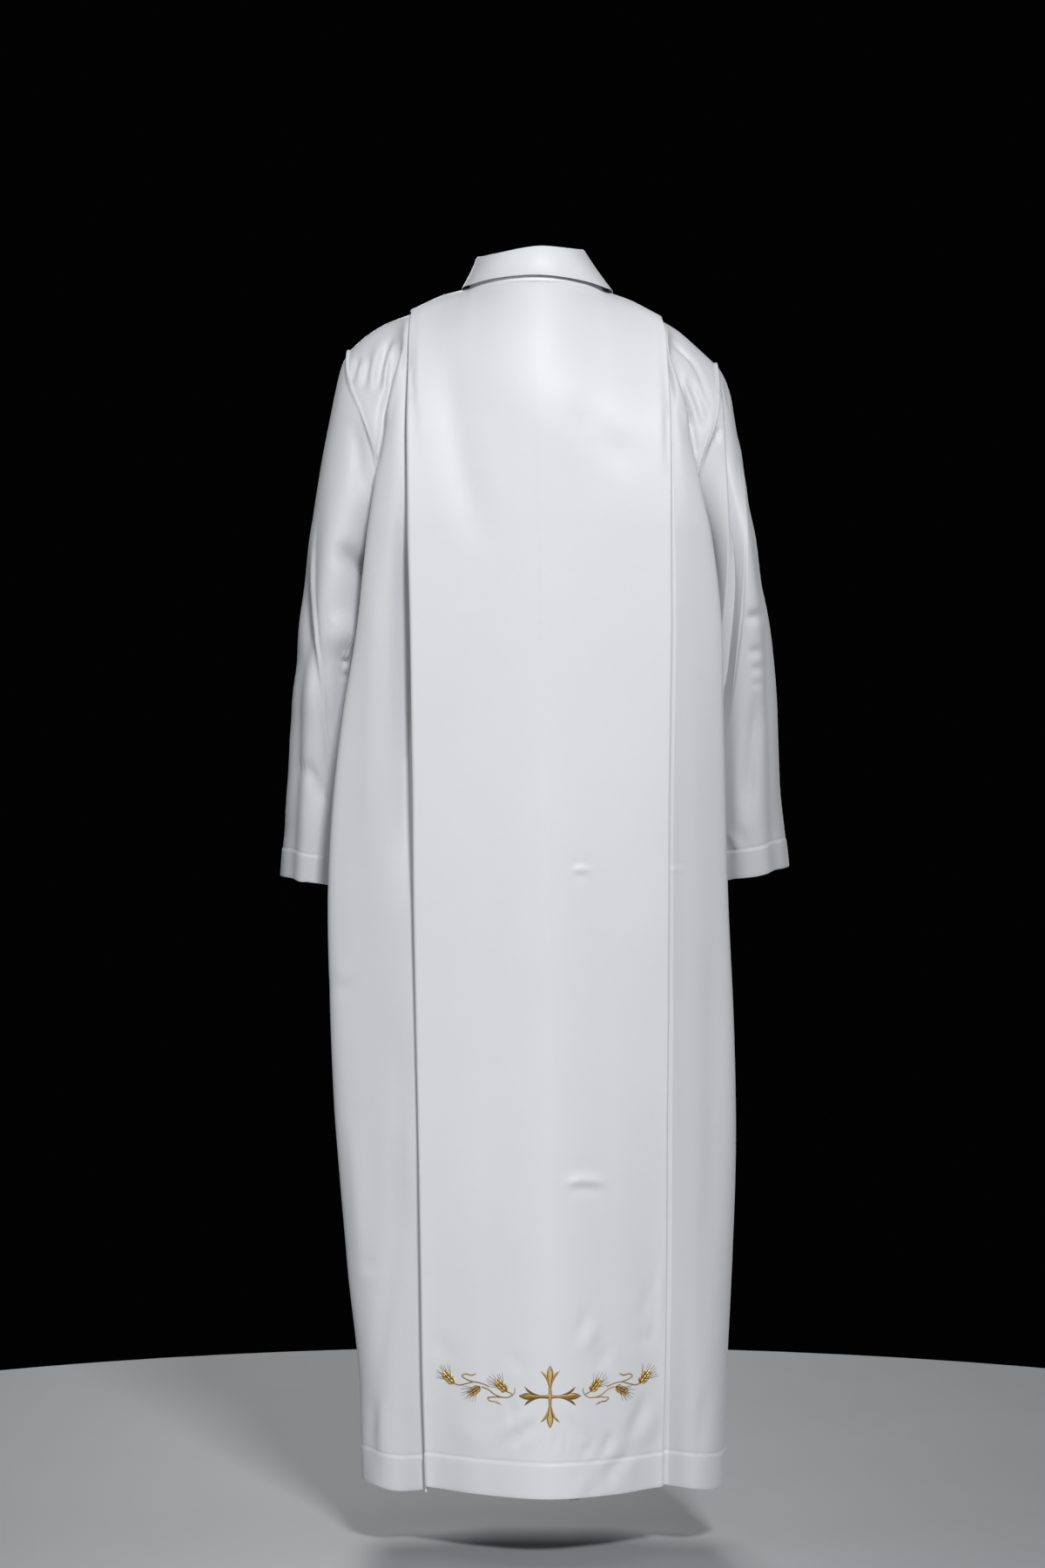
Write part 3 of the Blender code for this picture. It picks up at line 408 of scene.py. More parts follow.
def side_line(side, front):
    """The armhole, and the side seam below it."""
    drop = skirt_drops()[1:]
    x = pick(side, WIDTHS, "flare")
    x = read({"drop": WIDTHS["drop"], "x": x}, "x", drop) - read(DEPTHS, "side_in", drop)
    below = np.stack([side * x, read(DEPTHS, "side", drop), -drop], axis=-1)
    return np.concatenate([armhole_line(side, front), below])


def centre_x(drop):
    return read(WIDTHS, "centre", drop)


def back_guides(side):
    """Centre, mid-panel, panel edge, swell, flare, tuck and side lines of one half of the back."""
    def width(column):
        return lambda drop: side * read(WIDTHS, f"{column}_{SIDE_NAMES[side]}", drop)

    def depth(column):
        return lambda drop: read(DEPTHS, column, drop)

    flare_k = PANEL_K + sum(GUIDE_STEPS[:2])
    centre = guide_line(seam_point(side, 0, False), centre_x, depth("centre"))
    panel = guide_line(seam_point(side, PANEL_K, False), width("panel"), depth("panel"))
    flare = guide_line(seam_point(side, flare_k, False), width("flare"), depth("flare"))
    sides = side_line(side, False)
    drops = -flare[:, 2]
    swell = (panel + flare) / 2
    swell[:, 1] += read(DEPTHS, "swell", drops) * growing(SWELL_REACH)
    tuck = (flare + sides) / 2
    tuck[:, 0] -= side * read(DEPTHS, "tuck", drops) * growing(TUCK_REACH)
    half = (centre + panel) / 2
    half[:, 1] += PANEL_ROUNDNESS * (centre[:, 1] - panel[:, 1]) * growing(1.0)
    return np.stack([centre, half, panel, swell, flare, tuck, sides])


def growing(share):
    """From 0 at the top row to 1 at a share of the armhole's rows."""
    rows = np.arange(row_count())
    return smooth_step(rows / (share * ARMHOLE_ROWS))


def front_guides(side):
    """Centre, breast, outer and side lines of one front."""
    def across(column):
        return lambda drop: side * read(FRONTS, column, drop)

    def depth(column):
        return lambda drop: read(FRONTS, column, drop)

    return np.stack([
        guide_line(seam_point(side, 0, True), centre_x, depth("centre")),
        guide_line(seam_point(side, NECK_STEPS, True), across("breast_x"), depth("breast")),
        guide_line(seam_point(side, PANEL_K, True), across("outer_x"), depth("outer")),
        side_line(side, True),
    ])


def between(guides, knots, k):
    """Points at columns k, which is (column, row), between guide lines that stand at the knots."""
    segment = np.clip(np.searchsorted(knots, k, side="right") - 1, 0, len(knots) - 2)
    share = (k - knots[segment]) / (knots[segment + 1] - knots[segment])
    return loft(guides, segment + 1, share)


def meet_seam(side, guides, knots, k, front):
    """Points at columns k whose top row runs along the seam. The rows below follow its turns less sharply."""
    rows = np.arange(k.shape[1])
    tops = np.repeat(guides[:, :1], len(rows), axis=1)
    spread = SEAM_BLUR * smooth_step(rows / (SEAM_BLUR_REACH * ARMHOLE_ROWS))
    spread = spread * np.clip((SIDE_K - k) / SEAM_END_STEPS, 0, 1)
    places = np.linspace(-2, 2, BLUR_STEPS)
    weights = np.exp(-(places**2) / 2)
    offset = np.zeros(k.shape + (3,))
    for place, weight in zip(places, weights / weights.sum()):
        at = k + place * spread
        beside = np.clip(np.abs(at), 0, SIDE_K)
        gap = seam_point(side, beside, front) - between(tops, knots, beside)
        gap[..., 0] *= np.where(at < 0, -1, 1)
        offset += weight * gap
    fade = np.clip(1 - rows / ARMHOLE_ROWS, 0, 1) ** 3
    return between(guides, knots, k) + offset * fade[:, None]


def end_of_side(side, front):
    """A line past the side seam, which gives the cloth there its direction."""
    own = (front_guides if front else back_guides)(side)
    other = (back_guides if front else front_guides)(side)[-2]
    straight = 2 * own[-1] - own[-2]
    share = smooth_step((np.arange(own.shape[1]) / ARMHOLE_ROWS - SIDE_TURN) / (1 - SIDE_TURN))[:, None]
    return straight + (other - straight) * share


def back_surface(side, k):
    """The back's innermost layer at columns k, which is (column, row)."""
    guides = back_guides(side)
    other = back_guides(-side)[1]
    guides = np.concatenate([other[None], guides, end_of_side(side, False)[None]])
    knots = np.concatenate([[0, PANEL_K / 2], PANEL_K + np.cumsum((0,) + GUIDE_STEPS)])
    return meet_seam(side, guides, knots, k, False)


def front_surface(side, k):
    """A front at columns k, which is (column, row)."""
    guides = front_guides(side)
    other = front_guides(-side)[1]
    guides = np.concatenate([other[None], guides, end_of_side(side, True)[None]])
    knots = np.array([0, NECK_STEPS, PANEL_K, SIDE_K])
    return meet_seam(side, guides, knots, k, True)


def facing(points, away, across=None):
    """Unit normals of a grid (column, row), turned to the side that away points to at its middle."""
    across = np.gradient(points, axis=0) if across is None else across
    down = np.gradient(points, axis=1)
    normals = unit(np.cross(across, down))
    middle = normals[points.shape[0] // 2, points.shape[1] // 2]
    return normals * np.sign(np.dot(middle, away))


def normals_at(surface, side, k, away):
    """The normals of a surface at columns k, from its points a little to each side."""
    across = surface(side, np.minimum(k + NORMAL_REACH, SIDE_K)) - surface(side, np.maximum(k - NORMAL_REACH, 0))
    return facing(surface(side, k), away, across)


# ---------------------------------------------------------------- the flat runs and folds of the back

def pleat_gap(side):
    """How far apart the pleat's layers lie, by row."""
    drop = -back_guides(side)[2][:, 2]
    opened = smooth_step((drop - drop[0]) / PLEAT_OPEN_DROP)
    return PLEAT_TOP_SPACING + (PLEAT_SPACING - PLEAT_TOP_SPACING) * opened


def pleat_path(side):
    """One half of the back from its side to the centre: columns k, and heights over the innermost layer."""
    guides = back_guides(side)
    per_metre = PANEL_K / np.linalg.norm(guides[2] - guides[0], axis=-1)
    gap = pleat_gap(side)
    reach = gap / 2 * per_metre
    outer = PANEL_K - reach
    inner = PANEL_K - PLEAT_DEPTH * per_metre
    flat = np.zeros_like(gap)
    run = np.linspace(0, 1, UNDERLAY_STEPS + 1)[:, None]
    turn = np.linspace(0, math.pi, BEND_STEPS + 1)[1:-1, None]
    side_k = np.arange(SIDE_K, PANEL_K + STEP / 2, -STEP)[:, None]
    panel_k = np.linspace(PANEL_K - STEP, 0, round(PANEL_K / STEP))[:, None]
    pieces = (
        (side_k, flat),
        (PANEL_K + (inner - PANEL_K) * run, flat),
        (inner - reach * np.sin(turn), gap / 2 * (1 - np.cos(turn))),
        (inner + (outer - inner) * run, gap),
        (outer + reach * np.sin(turn), gap * 1.5 - gap / 2 * np.cos(turn)),
        (outer[None], 2 * gap),
        (panel_k, 2 * gap),
    )
    filled = [np.broadcast_arrays(*piece) for piece in pieces]
    k = np.concatenate([piece[0] for piece in filled])
    height = np.concatenate([piece[1] for piece in filled])
    sunk = 1 - smooth_step((k - SUNK_START) / SUNK_STEPS)
    fade = 1 - smooth_step(np.arange(len(gap)) / (SUNK_REACH * ARMHOLE_ROWS))
    return k, height - 2 * gap * sunk * fade


def hem_sag(side, k, height):
    """How far each point of the back hangs lower than a level hem would have it."""
    sag = HEM_SAG[side]
    on_panel = height[:, -1:] > 1.5 * PLEAT_SPACING  # over the two layers under it
    panel = sag["panel"] * np.clip(1 - (k / PANEL_K) ** 2, 0, 1)
    beside = sag["side"] * np.exp(-(((k - sag["side_k"]) / sag["side_width"]) ** 2)) * (k >= PANEL_K)
    inner_fold_k = np.min(np.where(on_panel, PANEL_K, k), axis=0)
    folded = sag["inner"] * np.exp(-(((k - inner_fold_k) / INNER_SAG_STEPS) ** 2))
    return np.where(on_panel, panel, beside + folded)


def stacking(side, k):
    """The directions in which the pleat's layers lie over each other: the seam's own at the top edge."""
    own = normals_at(back_surface, side, k, (0, 1, 0))
    front = normals_at(front_surface, side, k, (0, -1, 0))
    seam = unit(own[:, :1] + front[:, :1])
    fade = 1 - smooth_step(np.arange(k.shape[1]) / (SUNK_REACH * ARMHOLE_ROWS))
    return unit(own + (seam - own) * fade[:, None])


def back_half(side):
    """One half of the back from its side to its centre, with the pleat's layers over each other."""
    k, height = pleat_path(side)
    base = back_surface(side, k)
    points = base + stacking(side, k) * height[..., None]
    fade = smooth_step((-points[..., 2] - SAG_START_DROP) / (HEM_DROP - SAG_START_DROP))
    points[..., 2] -= hem_sag(side, k, height) * fade
    return points


def front_half(side):
    """A front from its centre to its side, with its soft folds."""
    k = np.linspace(0, SIDE_K, FRONT_COLUMNS)[:, None] + np.zeros(row_count())
    points = front_surface(side, k)
    drop = -points[..., 2]
    depth = smooth_step((drop - FOLD_START_DROP) / (HEM_DROP - FOLD_START_DROP))
    height = np.zeros_like(k)
    for place, rise, width in zip(*FRONT_FOLDS.values()):
        height += rise * np.exp(-(((k / SIDE_K - place) / width) ** 2))
    return points + facing(points, (0, -1, 0)) * (height * depth)[..., None]


# ---------------------------------------------------------------- sleeves

def sleeve_start(side):
    """How far round the sleeve each column stands, closer together at the back, and its place on the armhole."""
    back, front = armhole_line(side, False), armhole_line(side, True)
    loop = np.concatenate([back, front[-2::-1]])
    rows = {"turn": np.linspace(0, 1, len(loop))}
    rows.update(zip("xyz", loop.T))
    at_back = np.linspace(0, 0.5, SLEEVE_BACK_COLUMNS + 1)[:-1]
    at_front = np.linspace(0.5, 1, SLEEVE_FRONT_COLUMNS + 1)[:-1]
    turn = np.concatenate([at_back, at_front])
    return turn, np.stack([read(rows, axis, turn, key="turn") for axis in "xyz"], axis=-1)


def sleeve_points(side):
    """How far round each column stands, and rings (column round the sleeve, row down it).

    It starts at the shoulder point and turns to the back.
    """
    rows = SLEEVE_LEFT if side == LEFT else SLEEVE_RIGHT
    turn, start = sleeve_start(side)
    count = len(start)
    angle = turn * 2 * math.pi
    outer_share = (1 + np.cos(angle)) / 2
    cuff = CUFF_DROPS[side][1] + (CUFF_DROPS[side][0] - CUFF_DROPS[side][1]) * outer_share

    def ring(drop):
        section = {name: read(rows, name, drop) for name in ("outer", "inner", "front", "back")}
        across = np.sign(np.cos(angle)) * np.abs(np.cos(angle)) ** SLEEVE_SQUARENESS
        deep = np.sign(np.sin(angle)) * np.abs(np.sin(angle)) ** SLEEVE_SQUARENESS
        x = (section["outer"] + section["inner"]) / 2 + (section["outer"] - section["inner"]) / 2 * across
        y = (section["front"] + section["back"]) / 2 + (section["back"] - section["front"]) / 2 * deep
        return np.stack([side * x, y, -np.broadcast_to(drop, x.shape)], axis=-1)

    first_drop = rows["drop"][0] * np.ones(count)
    end = ring(first_drop)
    onward = unit(ring(first_drop + 0.05) - end)
    swing = SLEEVE_INNER_SWING + (SLEEVE_SWING[side] - SLEEVE_INNER_SWING) * outer_share
    outward = np.stack([side * swing, 0 * turn, 0 * turn], axis=-1)
    leaving = unit(unit(end - start) + outward)
    reach = np.linalg.norm(end - start, axis=-1, keepdims=True)
    near_seam = np.linspace(0, SLEEVE_SEAM_SHARE, SLEEVE_SEAM_ROWS + 1)[:-1]
    rest = np.linspace(SLEEVE_SEAM_SHARE, 1, SLEEVE_CAP_ROWS * SLEEVE_FINER - 4)
    cap = np.concatenate([near_seam, rest])
    lines = []
    for share in cap:
        line = hermite(start, end, leaving, onward, reach, share)
        place = share / CAP_PLACE[side]
        line[:, 0] += side * CAP_ROUND[side] * place * math.exp(1 - place) * outer_share**2
        lines.append(line)
    plain = np.linspace(0, 1, SLEEVE_ROWS * SLEEVE_FINER + 1)[1:]
    for share in plain:
        lines.append(ring(first_drop + (cuff - SLEEVE_HEM - HEM_ROW_GAP - first_drop) * share))
    for below in hem_rows(0.0, SLEEVE_HEM):
        lines.append(ring(cuff - SLEEVE_HEM + below))
    points = np.stack(lines, axis=1)
    height = np.zeros(count)
    for place, rise, width in zip(*SLEEVE_FOLDS.values()):
        away = np.abs(turn - place)
        height += rise * np.exp(-((np.minimum(away, 1 - away) / width) ** 2))
    fade = smooth_step((-points[..., 2] + points[:, :1, 2]) / SLEEVE_FOLD_REACH)
    normals = tube_normals(points)
    return turn, points + normals * (height[:, None] * fade)[..., None]


def tube_normals(points):
    """Outward unit normals of rings (column, row)."""
    across = np.roll(points, -1, axis=0) - np.roll(points, 1, axis=0)
    down = np.gradient(points, axis=1)
    normals = unit(np.cross(across, down))
    out = points[:, -1] - points[:, -1].mean(axis=0)
    return normals * np.sign(np.sum(normals[:, -1] * out))


# ---------------------------------------------------------------- collar

def collar_stations():
    """Where the collar's columns start on the neck seam: their side, column k, and whether on the front."""
    steps = [float(k) for k in np.arange(0, NECK_STEPS + NECK_STEP / 2, NECK_STEP)]
    left = [(LEFT, k, True) for k in steps] + [(LEFT, k, False) for k in reversed(steps[:-1])]
    right = [(RIGHT, k, False) for k in steps[1:]] + [(RIGHT, k, True) for k in reversed(steps[:-1])]
    return left + right


def collar_lines():
    """The collar's seam, fold and edge, and how far its fall stands over a straight line, by column."""
    seam, fold, edge, bulge = [], [], [], []
    for side, k, front in collar_stations():
        seam.append(seam_point(side, k, front))
        turn = (180 - 90 * k / NECK_STEPS if front else 90 * k / NECK_STEPS) / 100
        line = {name: float(read(COLLAR, name, turn, key="turn")) for name in list(COLLAR)[1:]}
        fold_x = side * line["fold_x"] + COLLAR_LEAN * math.sin(math.radians(100 * turn))
        roll = -COLLAR_ROLL * fold_x
        fold.append((fold_x, line["fold_y"], line["fold_z"] + roll))
        edge_x = side * line["edge_x"]
        edge.append((edge_x, line["edge_y"], line["edge_z"] + COLLAR_TILT * edge_x))
        bulge.append(line["bulge"])
    return np.array(seam), np.array(fold), np.array(edge), np.array(bulge)


def collar_points():
    """The collar's middle surface: up the stand, over the fold and down the fall."""
    seam, fold, edge, bulge = collar_lines()
    down = unit(edge - fold)
    up = unit(fold - seam)
    level = unit((fold - NECK_MIDDLE) * [1, 1, 0])
    rise = unit(up - down)
    out = unit(level - rise * np.sum(level * rise, axis=-1, keepdims=True))
    columns = []
    inner, outer = fold - out * COLLAR_BEND, fold + out * COLLAR_BEND
    for share in np.linspace(0, 1, STAND_STEPS + 1):
        columns.append(seam + (inner - seam) * share)
    for angle in np.linspace(0, math.pi, BEND_STEPS + 1)[1:-1]:
        columns.append(fold - out * COLLAR_BEND * math.cos(angle) + rise * COLLAR_BEND * math.sin(angle))
    for share in np.linspace(0, 1, FALL_STEPS + 1):
        columns.append(outer + (edge - outer) * share + out * (bulge * 4 * share * (1 - share))[:, None])
    return np.stack(columns, axis=1)


# ---------------------------------------------------------------- creases

PROFILES = {
    "soft": lambda s: np.exp(-s**2) - 0.35 * np.exp(-(((np.abs(s) - 2.1) / 1.1) ** 2)),
    "roll": lambda s: s * np.exp(0.5 - 0.5 * s**2),
    "press": lambda s: np.exp(-np.abs(s)),
    "dent": lambda s: np.exp(-s**2),
    "shelf": lambda s: smooth_step(s) * np.exp(-np.maximum(s, 0) / 10),
    "valley": lambda s: -(1 - 0.9 * s) * smooth_step(s / 0.14) * smooth_step((1.1 - s) / 0.14),
}
CREASE_REACH = 8  # in half widths
CREASE_ENDS = 0.35  # the share of a crease over which it fades at each end


def creases(text):
    """Creases from a text with a line for each. An indented line runs on from the last, and a # starts a comment.

    A line has the profile, the half width and the height, the ends if they aren't CREASE_ENDS, a colon, and
    the x,drop pairs that the crease runs through. X is towards the wearer's left, and all sizes are in mm.
    A roll stands out on the side of -X of a line that runs down, and lies back on the other.
    """
    made = []
    for row in text.replace("\n    ", " ").strip().splitlines():
        if row.startswith("#"):
            continue
        head, places = row.split(":")
        shape, width, height, *ends = head.split()
        line, at = smooth_line(pairs(places), 3 * MM, 12)
        made.append((PROFILES[shape], float(width) * MM, float(height) * MM, line, at / at[-1],
                     float(ends[0]) if ends else CREASE_ENDS))
    return made


def crease_heights(points, folds):
    """How far creases move each point of a grid out of its surface."""
    flat = np.stack([points[..., 0], -points[..., 2]], axis=-1).reshape(-1, 2)
    heights = np.zeros(len(flat))
    for profile, width, height, line, at, ends in folds:
        reach = CREASE_REACH * width
        near = np.all((flat > line.min(axis=0) - reach) & (flat < line.max(axis=0) + reach), axis=-1)
        here = flat[near]
        if not len(here):
            continue
        away = here[:, None] - line[None]
        index = np.argmin(np.sum(away**2, axis=-1), axis=1)
        delta = away[np.arange(len(here)), index]
        tangent = unit(np.gradient(line, axis=0))[index]
        across = tangent[:, 0] * delta[:, 1] - tangent[:, 1] * delta[:, 0]
        beyond = np.sum(tangent * delta, axis=-1)
        place = at[index]
        fade = smooth_step(np.minimum(place, 1 - place) / ends)
        past = np.where((index == 0) | (index == len(line) - 1), beyond / width, 0.0)
        heights[near] += height * profile(across / width) * fade * np.exp(-(past**2))
    return heights.reshape(points.shape[:2])


PANEL_CREASES = creases("""
press 42 3 0.25: -5,440 -10,560 -12,790 -17,870 -16,1020 -15,1290
soft 3 0.5: 0,60 -2,150 -4,300 -7,480 -10,560
soft 3.6 1.5: -37,686 -49,683 -62,687
soft 5.2 2.2: -26,1043 -52,1039 -82,1045
dent 20 -4.2: 100,60 102,110 96,170 84,240 60,330
# The shoulder blades: the cloth faces up over them and slightly down below them.
dent 62 4.6 0.02: 150,96 90,90 40,96 0,124 -60,150 -110,158 -150,158
dent 20 -2.6: -34,130 -62,172 -100,206 -132,218
dent 30 1.6: 46,30 52,90 40,170
# The puckers that the embroidery draws.
soft 6.5 1.9: -73,1205 -57,1222 -48,1237
soft 5 -1.3: -58,1190 -52,1198 -47,1206
soft 6 -1.5: -84,1232 -72,1246 -60,1252
soft 6 -1.4: 36,1240 24,1248 10,1254
soft 5.5 2.2: -4,1294 16,1312 36,1326 52,1338
soft 5 -2: -3,1313 20,1329 42,1342
soft 5 -1.4: 38,1296 30,1302 24,1310
soft 2.6 -1.5: 16,1352 20,1345 24,1336
soft 2.8 -1.5: 4,1352 0,1345 -4,1334
soft 2.8 -1.7: -14,1350 -20,1338 -26,1324
soft 2.6 -1.4: -30,1348 -32,1338 -32,1328
soft 5 1.8: -28,1292 -42,1306 -60,1322
soft 4 -2.4: -48,1352 -58,1347 -66,1341
soft 4.5 -2.2: -70,1354 -80,1343 -88,1330
soft 6 -1.7: -98,1346 -110,1328 -120,1306 -126,1284
soft 9 1.5: -120,1350 -132,1324 -138,1300
soft 7 -1.9: -66,1392 -84,1374 -102,1358 -112,1344
soft 6 1.2: -40,1396 -52,1386 -60,1372
soft 6 -1.3: -122,1160 -126,1180 -122,1200
soft 7 -1.5: -112,1220 -126,1226 -138,1222
soft 4.5 1.6: -143,1130 -144,1190 -143,1240
soft 9 -0.9: 120,1226 104,1240 92,1250
soft 10 0.9: 96,1320 70,1338 44,1330
""")
LEFT_SIDE_CREASES = creases("""
roll 3.6 3 0.25: 152,58 157,70 162,88 168,106 172,126 178,152 182,172
dent 4 -4.2 0.2: 161,74 168,94 172,114 177,142 184,186 190,224
dent 4.2 -4.8: 168,56 178,74 183,90 186,112 187,132
soft 4.4 3.6: 164,60 173,80 178,104 180,126
soft 4.6 2.4: 184,66 192,88 195,110 196,130
dent 4 -4: 195,78 200,94 202,110 203,126
dent 3.6 -3.6: 209,78 214,92 216,106 217,120
soft 3.4 2: 203,84 209,100 210,116
dent 15 -15 0.3: 150,220 150,340 150,480 150,620 151,760
dent 10 -8 0.4: 150,260 150,380 150,480 150,600
# Further down the cloth stands up at the pleat and faces away from it.
dent 17 5 0.35: 150,760 151,860 152,980 154,1120
dent 9 -5.5 0.3: 150,790 156,900 163,1020 170,1135 184,1250 194,1310
soft 12 2.6 0.3: 188,300 192,480 200,700
dent 8 -1.8: 228,815 220,822 212,826
soft 8 1.8: 232,800 224,806 216,806
soft 10 2.2: 216,960 208,1080 204,1180
soft 7 -1.8: 200,1140 194,1144 188,1142
soft 6 -2: 190,1290 192,1330 194,1376
soft 7 1.8: 178,1300 180,1340 176,1384
""")
RIGHT_SIDE_CREASES = creases("""
roll 3.4 -5.2 0.25: -151,56 -155,84 -161,108 -168,132 -174,152 -178,182
dent 3.2 -3.8 0.25: -166,116 -175,142 -181,174 -186,206
dent 4 -5.4: -173,145 -176,153 -178,161
dent 5.4 -5.8: -171,102 -181,118 -189,136 -193,154 -195,172
dent 2.6 -3.6 0.3: -150,54 -168,74 -181,86 -190,102 -197,124 -203,144 -204,158
soft 3 1.2: -152,688 -158,684 -166,687
dent 16 4.6 0.15: -146,240 -146,480 -146,900 -148,1340
soft 14 1.6: -180,380 -186,620 -186,900
soft 12 -2: -206,720 -204,980 -200,1180
soft 9 1.6: -176,1020 -172,1180 -168,1300
soft 7 -1.6: -196,1280 -190,1330 -186,1384
""")
LEFT_SLEEVE_CREASES = creases("""
dent 9 -3.2: 216,150 213,170 208,215 204,262
# The elbow's wedge and the bulge under it.
dent 12 -8 0.45: 240,304 224,316 208,331 190,346
dent 22 8 0.5: 254,396 240,404 224,411 204,418
# The long roll of the upper arm, with the forearm in its shade.
shelf 4 5.5 0.3: 234,580 238,545 247,480 255,415 258,376 259,345 258,300 255,262
dent 7 -6.5 0.3: 265,286 269,345 268,376 264,415 254,480 243,545 242,600
# The outer side lies almost flat up to its outline.
dent 15 6 0.3: 280,430 285,490 290,540 294,590 299,650
dent 22 -3 0.3: 252,470 256,520 258,580 262,640
soft 3.4 1.2: 232,430 227,434 221,434
soft 3.2 -1.8: 231,438 226,441 219,441
soft 3.4 1.2: 230,447 225,450 219,449
soft 3.2 -1.8: 229,456 224,458 218,457
dent 5 -5.2: 216,418 212,436 211,456 212,476
dent 9 -3.6: 282,554 268,572 254,594 240,616
""")
RIGHT_SLEEVE_CREASES = creases("""
# Two long thin folds with a flat valley between them.
valley 18 14 0.25: -213,104 -218,150 -220,200 -222,260 -222,315 -221,345 -219,372 -216,404 -212,448 -207,500
    -200,548
shelf 3 2.6 0.3: -230,112 -236,158 -239,200 -241,276 -241,338 -239,385 -234,436 -227,492 -219,540
dent 13 3.4 0.3: -262,330 -268,380 -273,430 -277,500 -281,580 -286,650
soft 2.4 -1.8: -229,96 -234,116 -240,140
soft 2.4 -1.5: -220,106 -224,124 -228,146
dent 3.6 -3: -213,166 -210,178 -208,190
dent 7 -4.2 0.5: -238,391 -252,390 -266,387
dent 5.4 -2.8 0.5: -242,431 -255,430 -266,428
dent 4.8 -2.2 0.5: -245,450 -257,450 -267,448
dent 4.6 -1.6 0.5: -246,468 -257,468 -267,466
dent 9 -5: -257,462 -255,510 -250,570 -246,640
soft 10 1.6: -272,470 -274,560 -276,640
soft 5 1.2: -226,640 -234,652 -240,668
""")
# The front doesn't show, so it has the same kind of folds.
FRONT_CREASES = {
    LEFT: creases("""
soft 9 -2.6: 120,70 132,118 140,170 146,226
soft 7 2.4: 140,84 150,126 156,176 158,214
soft 5 -2.2: 176,96 176,132 172,168
soft 4.5 -1.8: 194,108 190,136 184,160
soft 13 3 0.3: 96,420 108,640 120,880 124,1120
soft 11 -3 0.3: 132,520 146,760 152,1000 150,1240
soft 12 -2.4 0.3: 52,700 58,900 64,1130 66,1300
soft 9 2 0.3: 34,860 38,1060 42,1290
soft 5 1.6: 60,726 76,722 92,727
soft 6 -2: 150,330 164,344 176,366
"""),
    RIGHT: creases("""
soft 9 -2.4: -116,78 -130,124 -138,180 -142,250
soft 7 2.4: -136,92 -148,134 -154,190
soft 4.6 -2.2: -170,106 -172,140 -170,178
soft 4.2 -1.6: -188,120 -186,142 -182,164
soft 12 2.8 0.3: -90,460 -100,700 -108,930 -114,1180
soft 12 -3.2 0.3: -126,560 -138,800 -150,1040 -150,1290
soft 11 -2.2 0.3: -46,780 -56,960 -62,1180 -60,1330
soft 10 2 0.3: -170,620 -178,820 -174,1020
soft 4.4 1.4: -52,1010 -66,1006 -80,1011
soft 6 -1.8: -148,340 -160,356 -170,384
"""),
}
SLEEVE_FRONT_CREASES = {
    LEFT: creases("""
soft 7 -3.4: 262,352 244,364 226,384
soft 6 2.6: 268,372 250,386 232,408
soft 6 -3: 274,396 256,410 236,434
soft 8 2.4: 282,430 266,470 256,520
soft 7 -2.8: 246,120 240,180 232,250
soft 9 -2.6: 288,520 276,580 268,640
soft 4.6 -2: 206,196 204,222 206,250
"""),
    RIGHT: creases("""
soft 7 -3.2: -262,360 -246,374 -228,396
soft 6 2.6: -266,384 -250,400 -230,424
soft 5.4 -2.8: -268,410 -252,424 -234,450
soft 8 2.4: -274,450 -262,490 -252,548
soft 7 -2.8: -238,150 -236,204 -228,268
soft 9 -2.4: -280,536 -270,596 -262,640
"""),
}


def spread(points, axis):
    """Distances along a grid from its first column or row."""
    steps = np.linalg.norm(np.diff(points, axis=axis), axis=-1)
    pad = [(0, 0), (0, 0)]
    pad[axis] = (1, 0)
    return np.cumsum(np.pad(steps, pad), axis=axis)


# ---------------------------------------------------------------- materials

CLOTH = (0.80, 0.815, 0.85)
SLUB_SHADE = 0.955  # how white the cloth is at its darkest
TWILL_SCALE = 640.0  # a metre


def new_material(name, colour, roughness, metallic=0.0, sheen=0.0, specular=0.5):
    material = bpy.data.materials.new(name)
    material.use_nodes = True
    shader = material.node_tree.nodes["Principled BSDF"]
    shader.inputs["Base Color"].default_value = (*colour, 1)
    shader.inputs["Roughness"].default_value = roughness
    shader.inputs["Metallic"].default_value = metallic
    shader.inputs["Sheen Weight"].default_value = sheen
    shader.inputs["Sheen Roughness"].default_value = 0.45
    shader.inputs["Specular IOR Level"].default_value = specular
    material.diffuse_color = (*colour, 1)
    return material, material.node_tree, shader


def add(tree, kind, **values):
    node = tree.nodes.new(kind)
    for name, value in values.items():
        if name in node.inputs:
            node.inputs[name].default_value = value
        else:
            setattr(node, name, value)
    return node


def noise(tree, source, scale, detail):
    node = add(tree, "ShaderNodeTexNoise", Scale=scale, Detail=detail)
    tree.links.new(source, node.inputs["Vector"])
    return node.outputs["Fac"]


def object_place(tree):
    return add(tree, "ShaderNodeTexCoord").outputs["Object"]


def shade_by(tree, shader, value, dark, light, low=0.0, high=1.0):
    """The base colour goes from dark to light as the value goes from low to high."""
    ramp = add(tree, "ShaderNodeValToRGB")
    for element, position, colour in zip(ramp.color_ramp.elements, (low, high), (dark, light)):
        element.position, element.color = position, (*colour, 1)
    tree.links.new(value, ramp.inputs[0])
    tree.links.new(ramp.outputs[0], shader.inputs["Base Color"])


def bump(tree, height, strength, distance):
    node = add(tree, "ShaderNodeBump", Strength=strength, Distance=distance)
    tree.links.new(height, node.inputs["Height"])
    return node


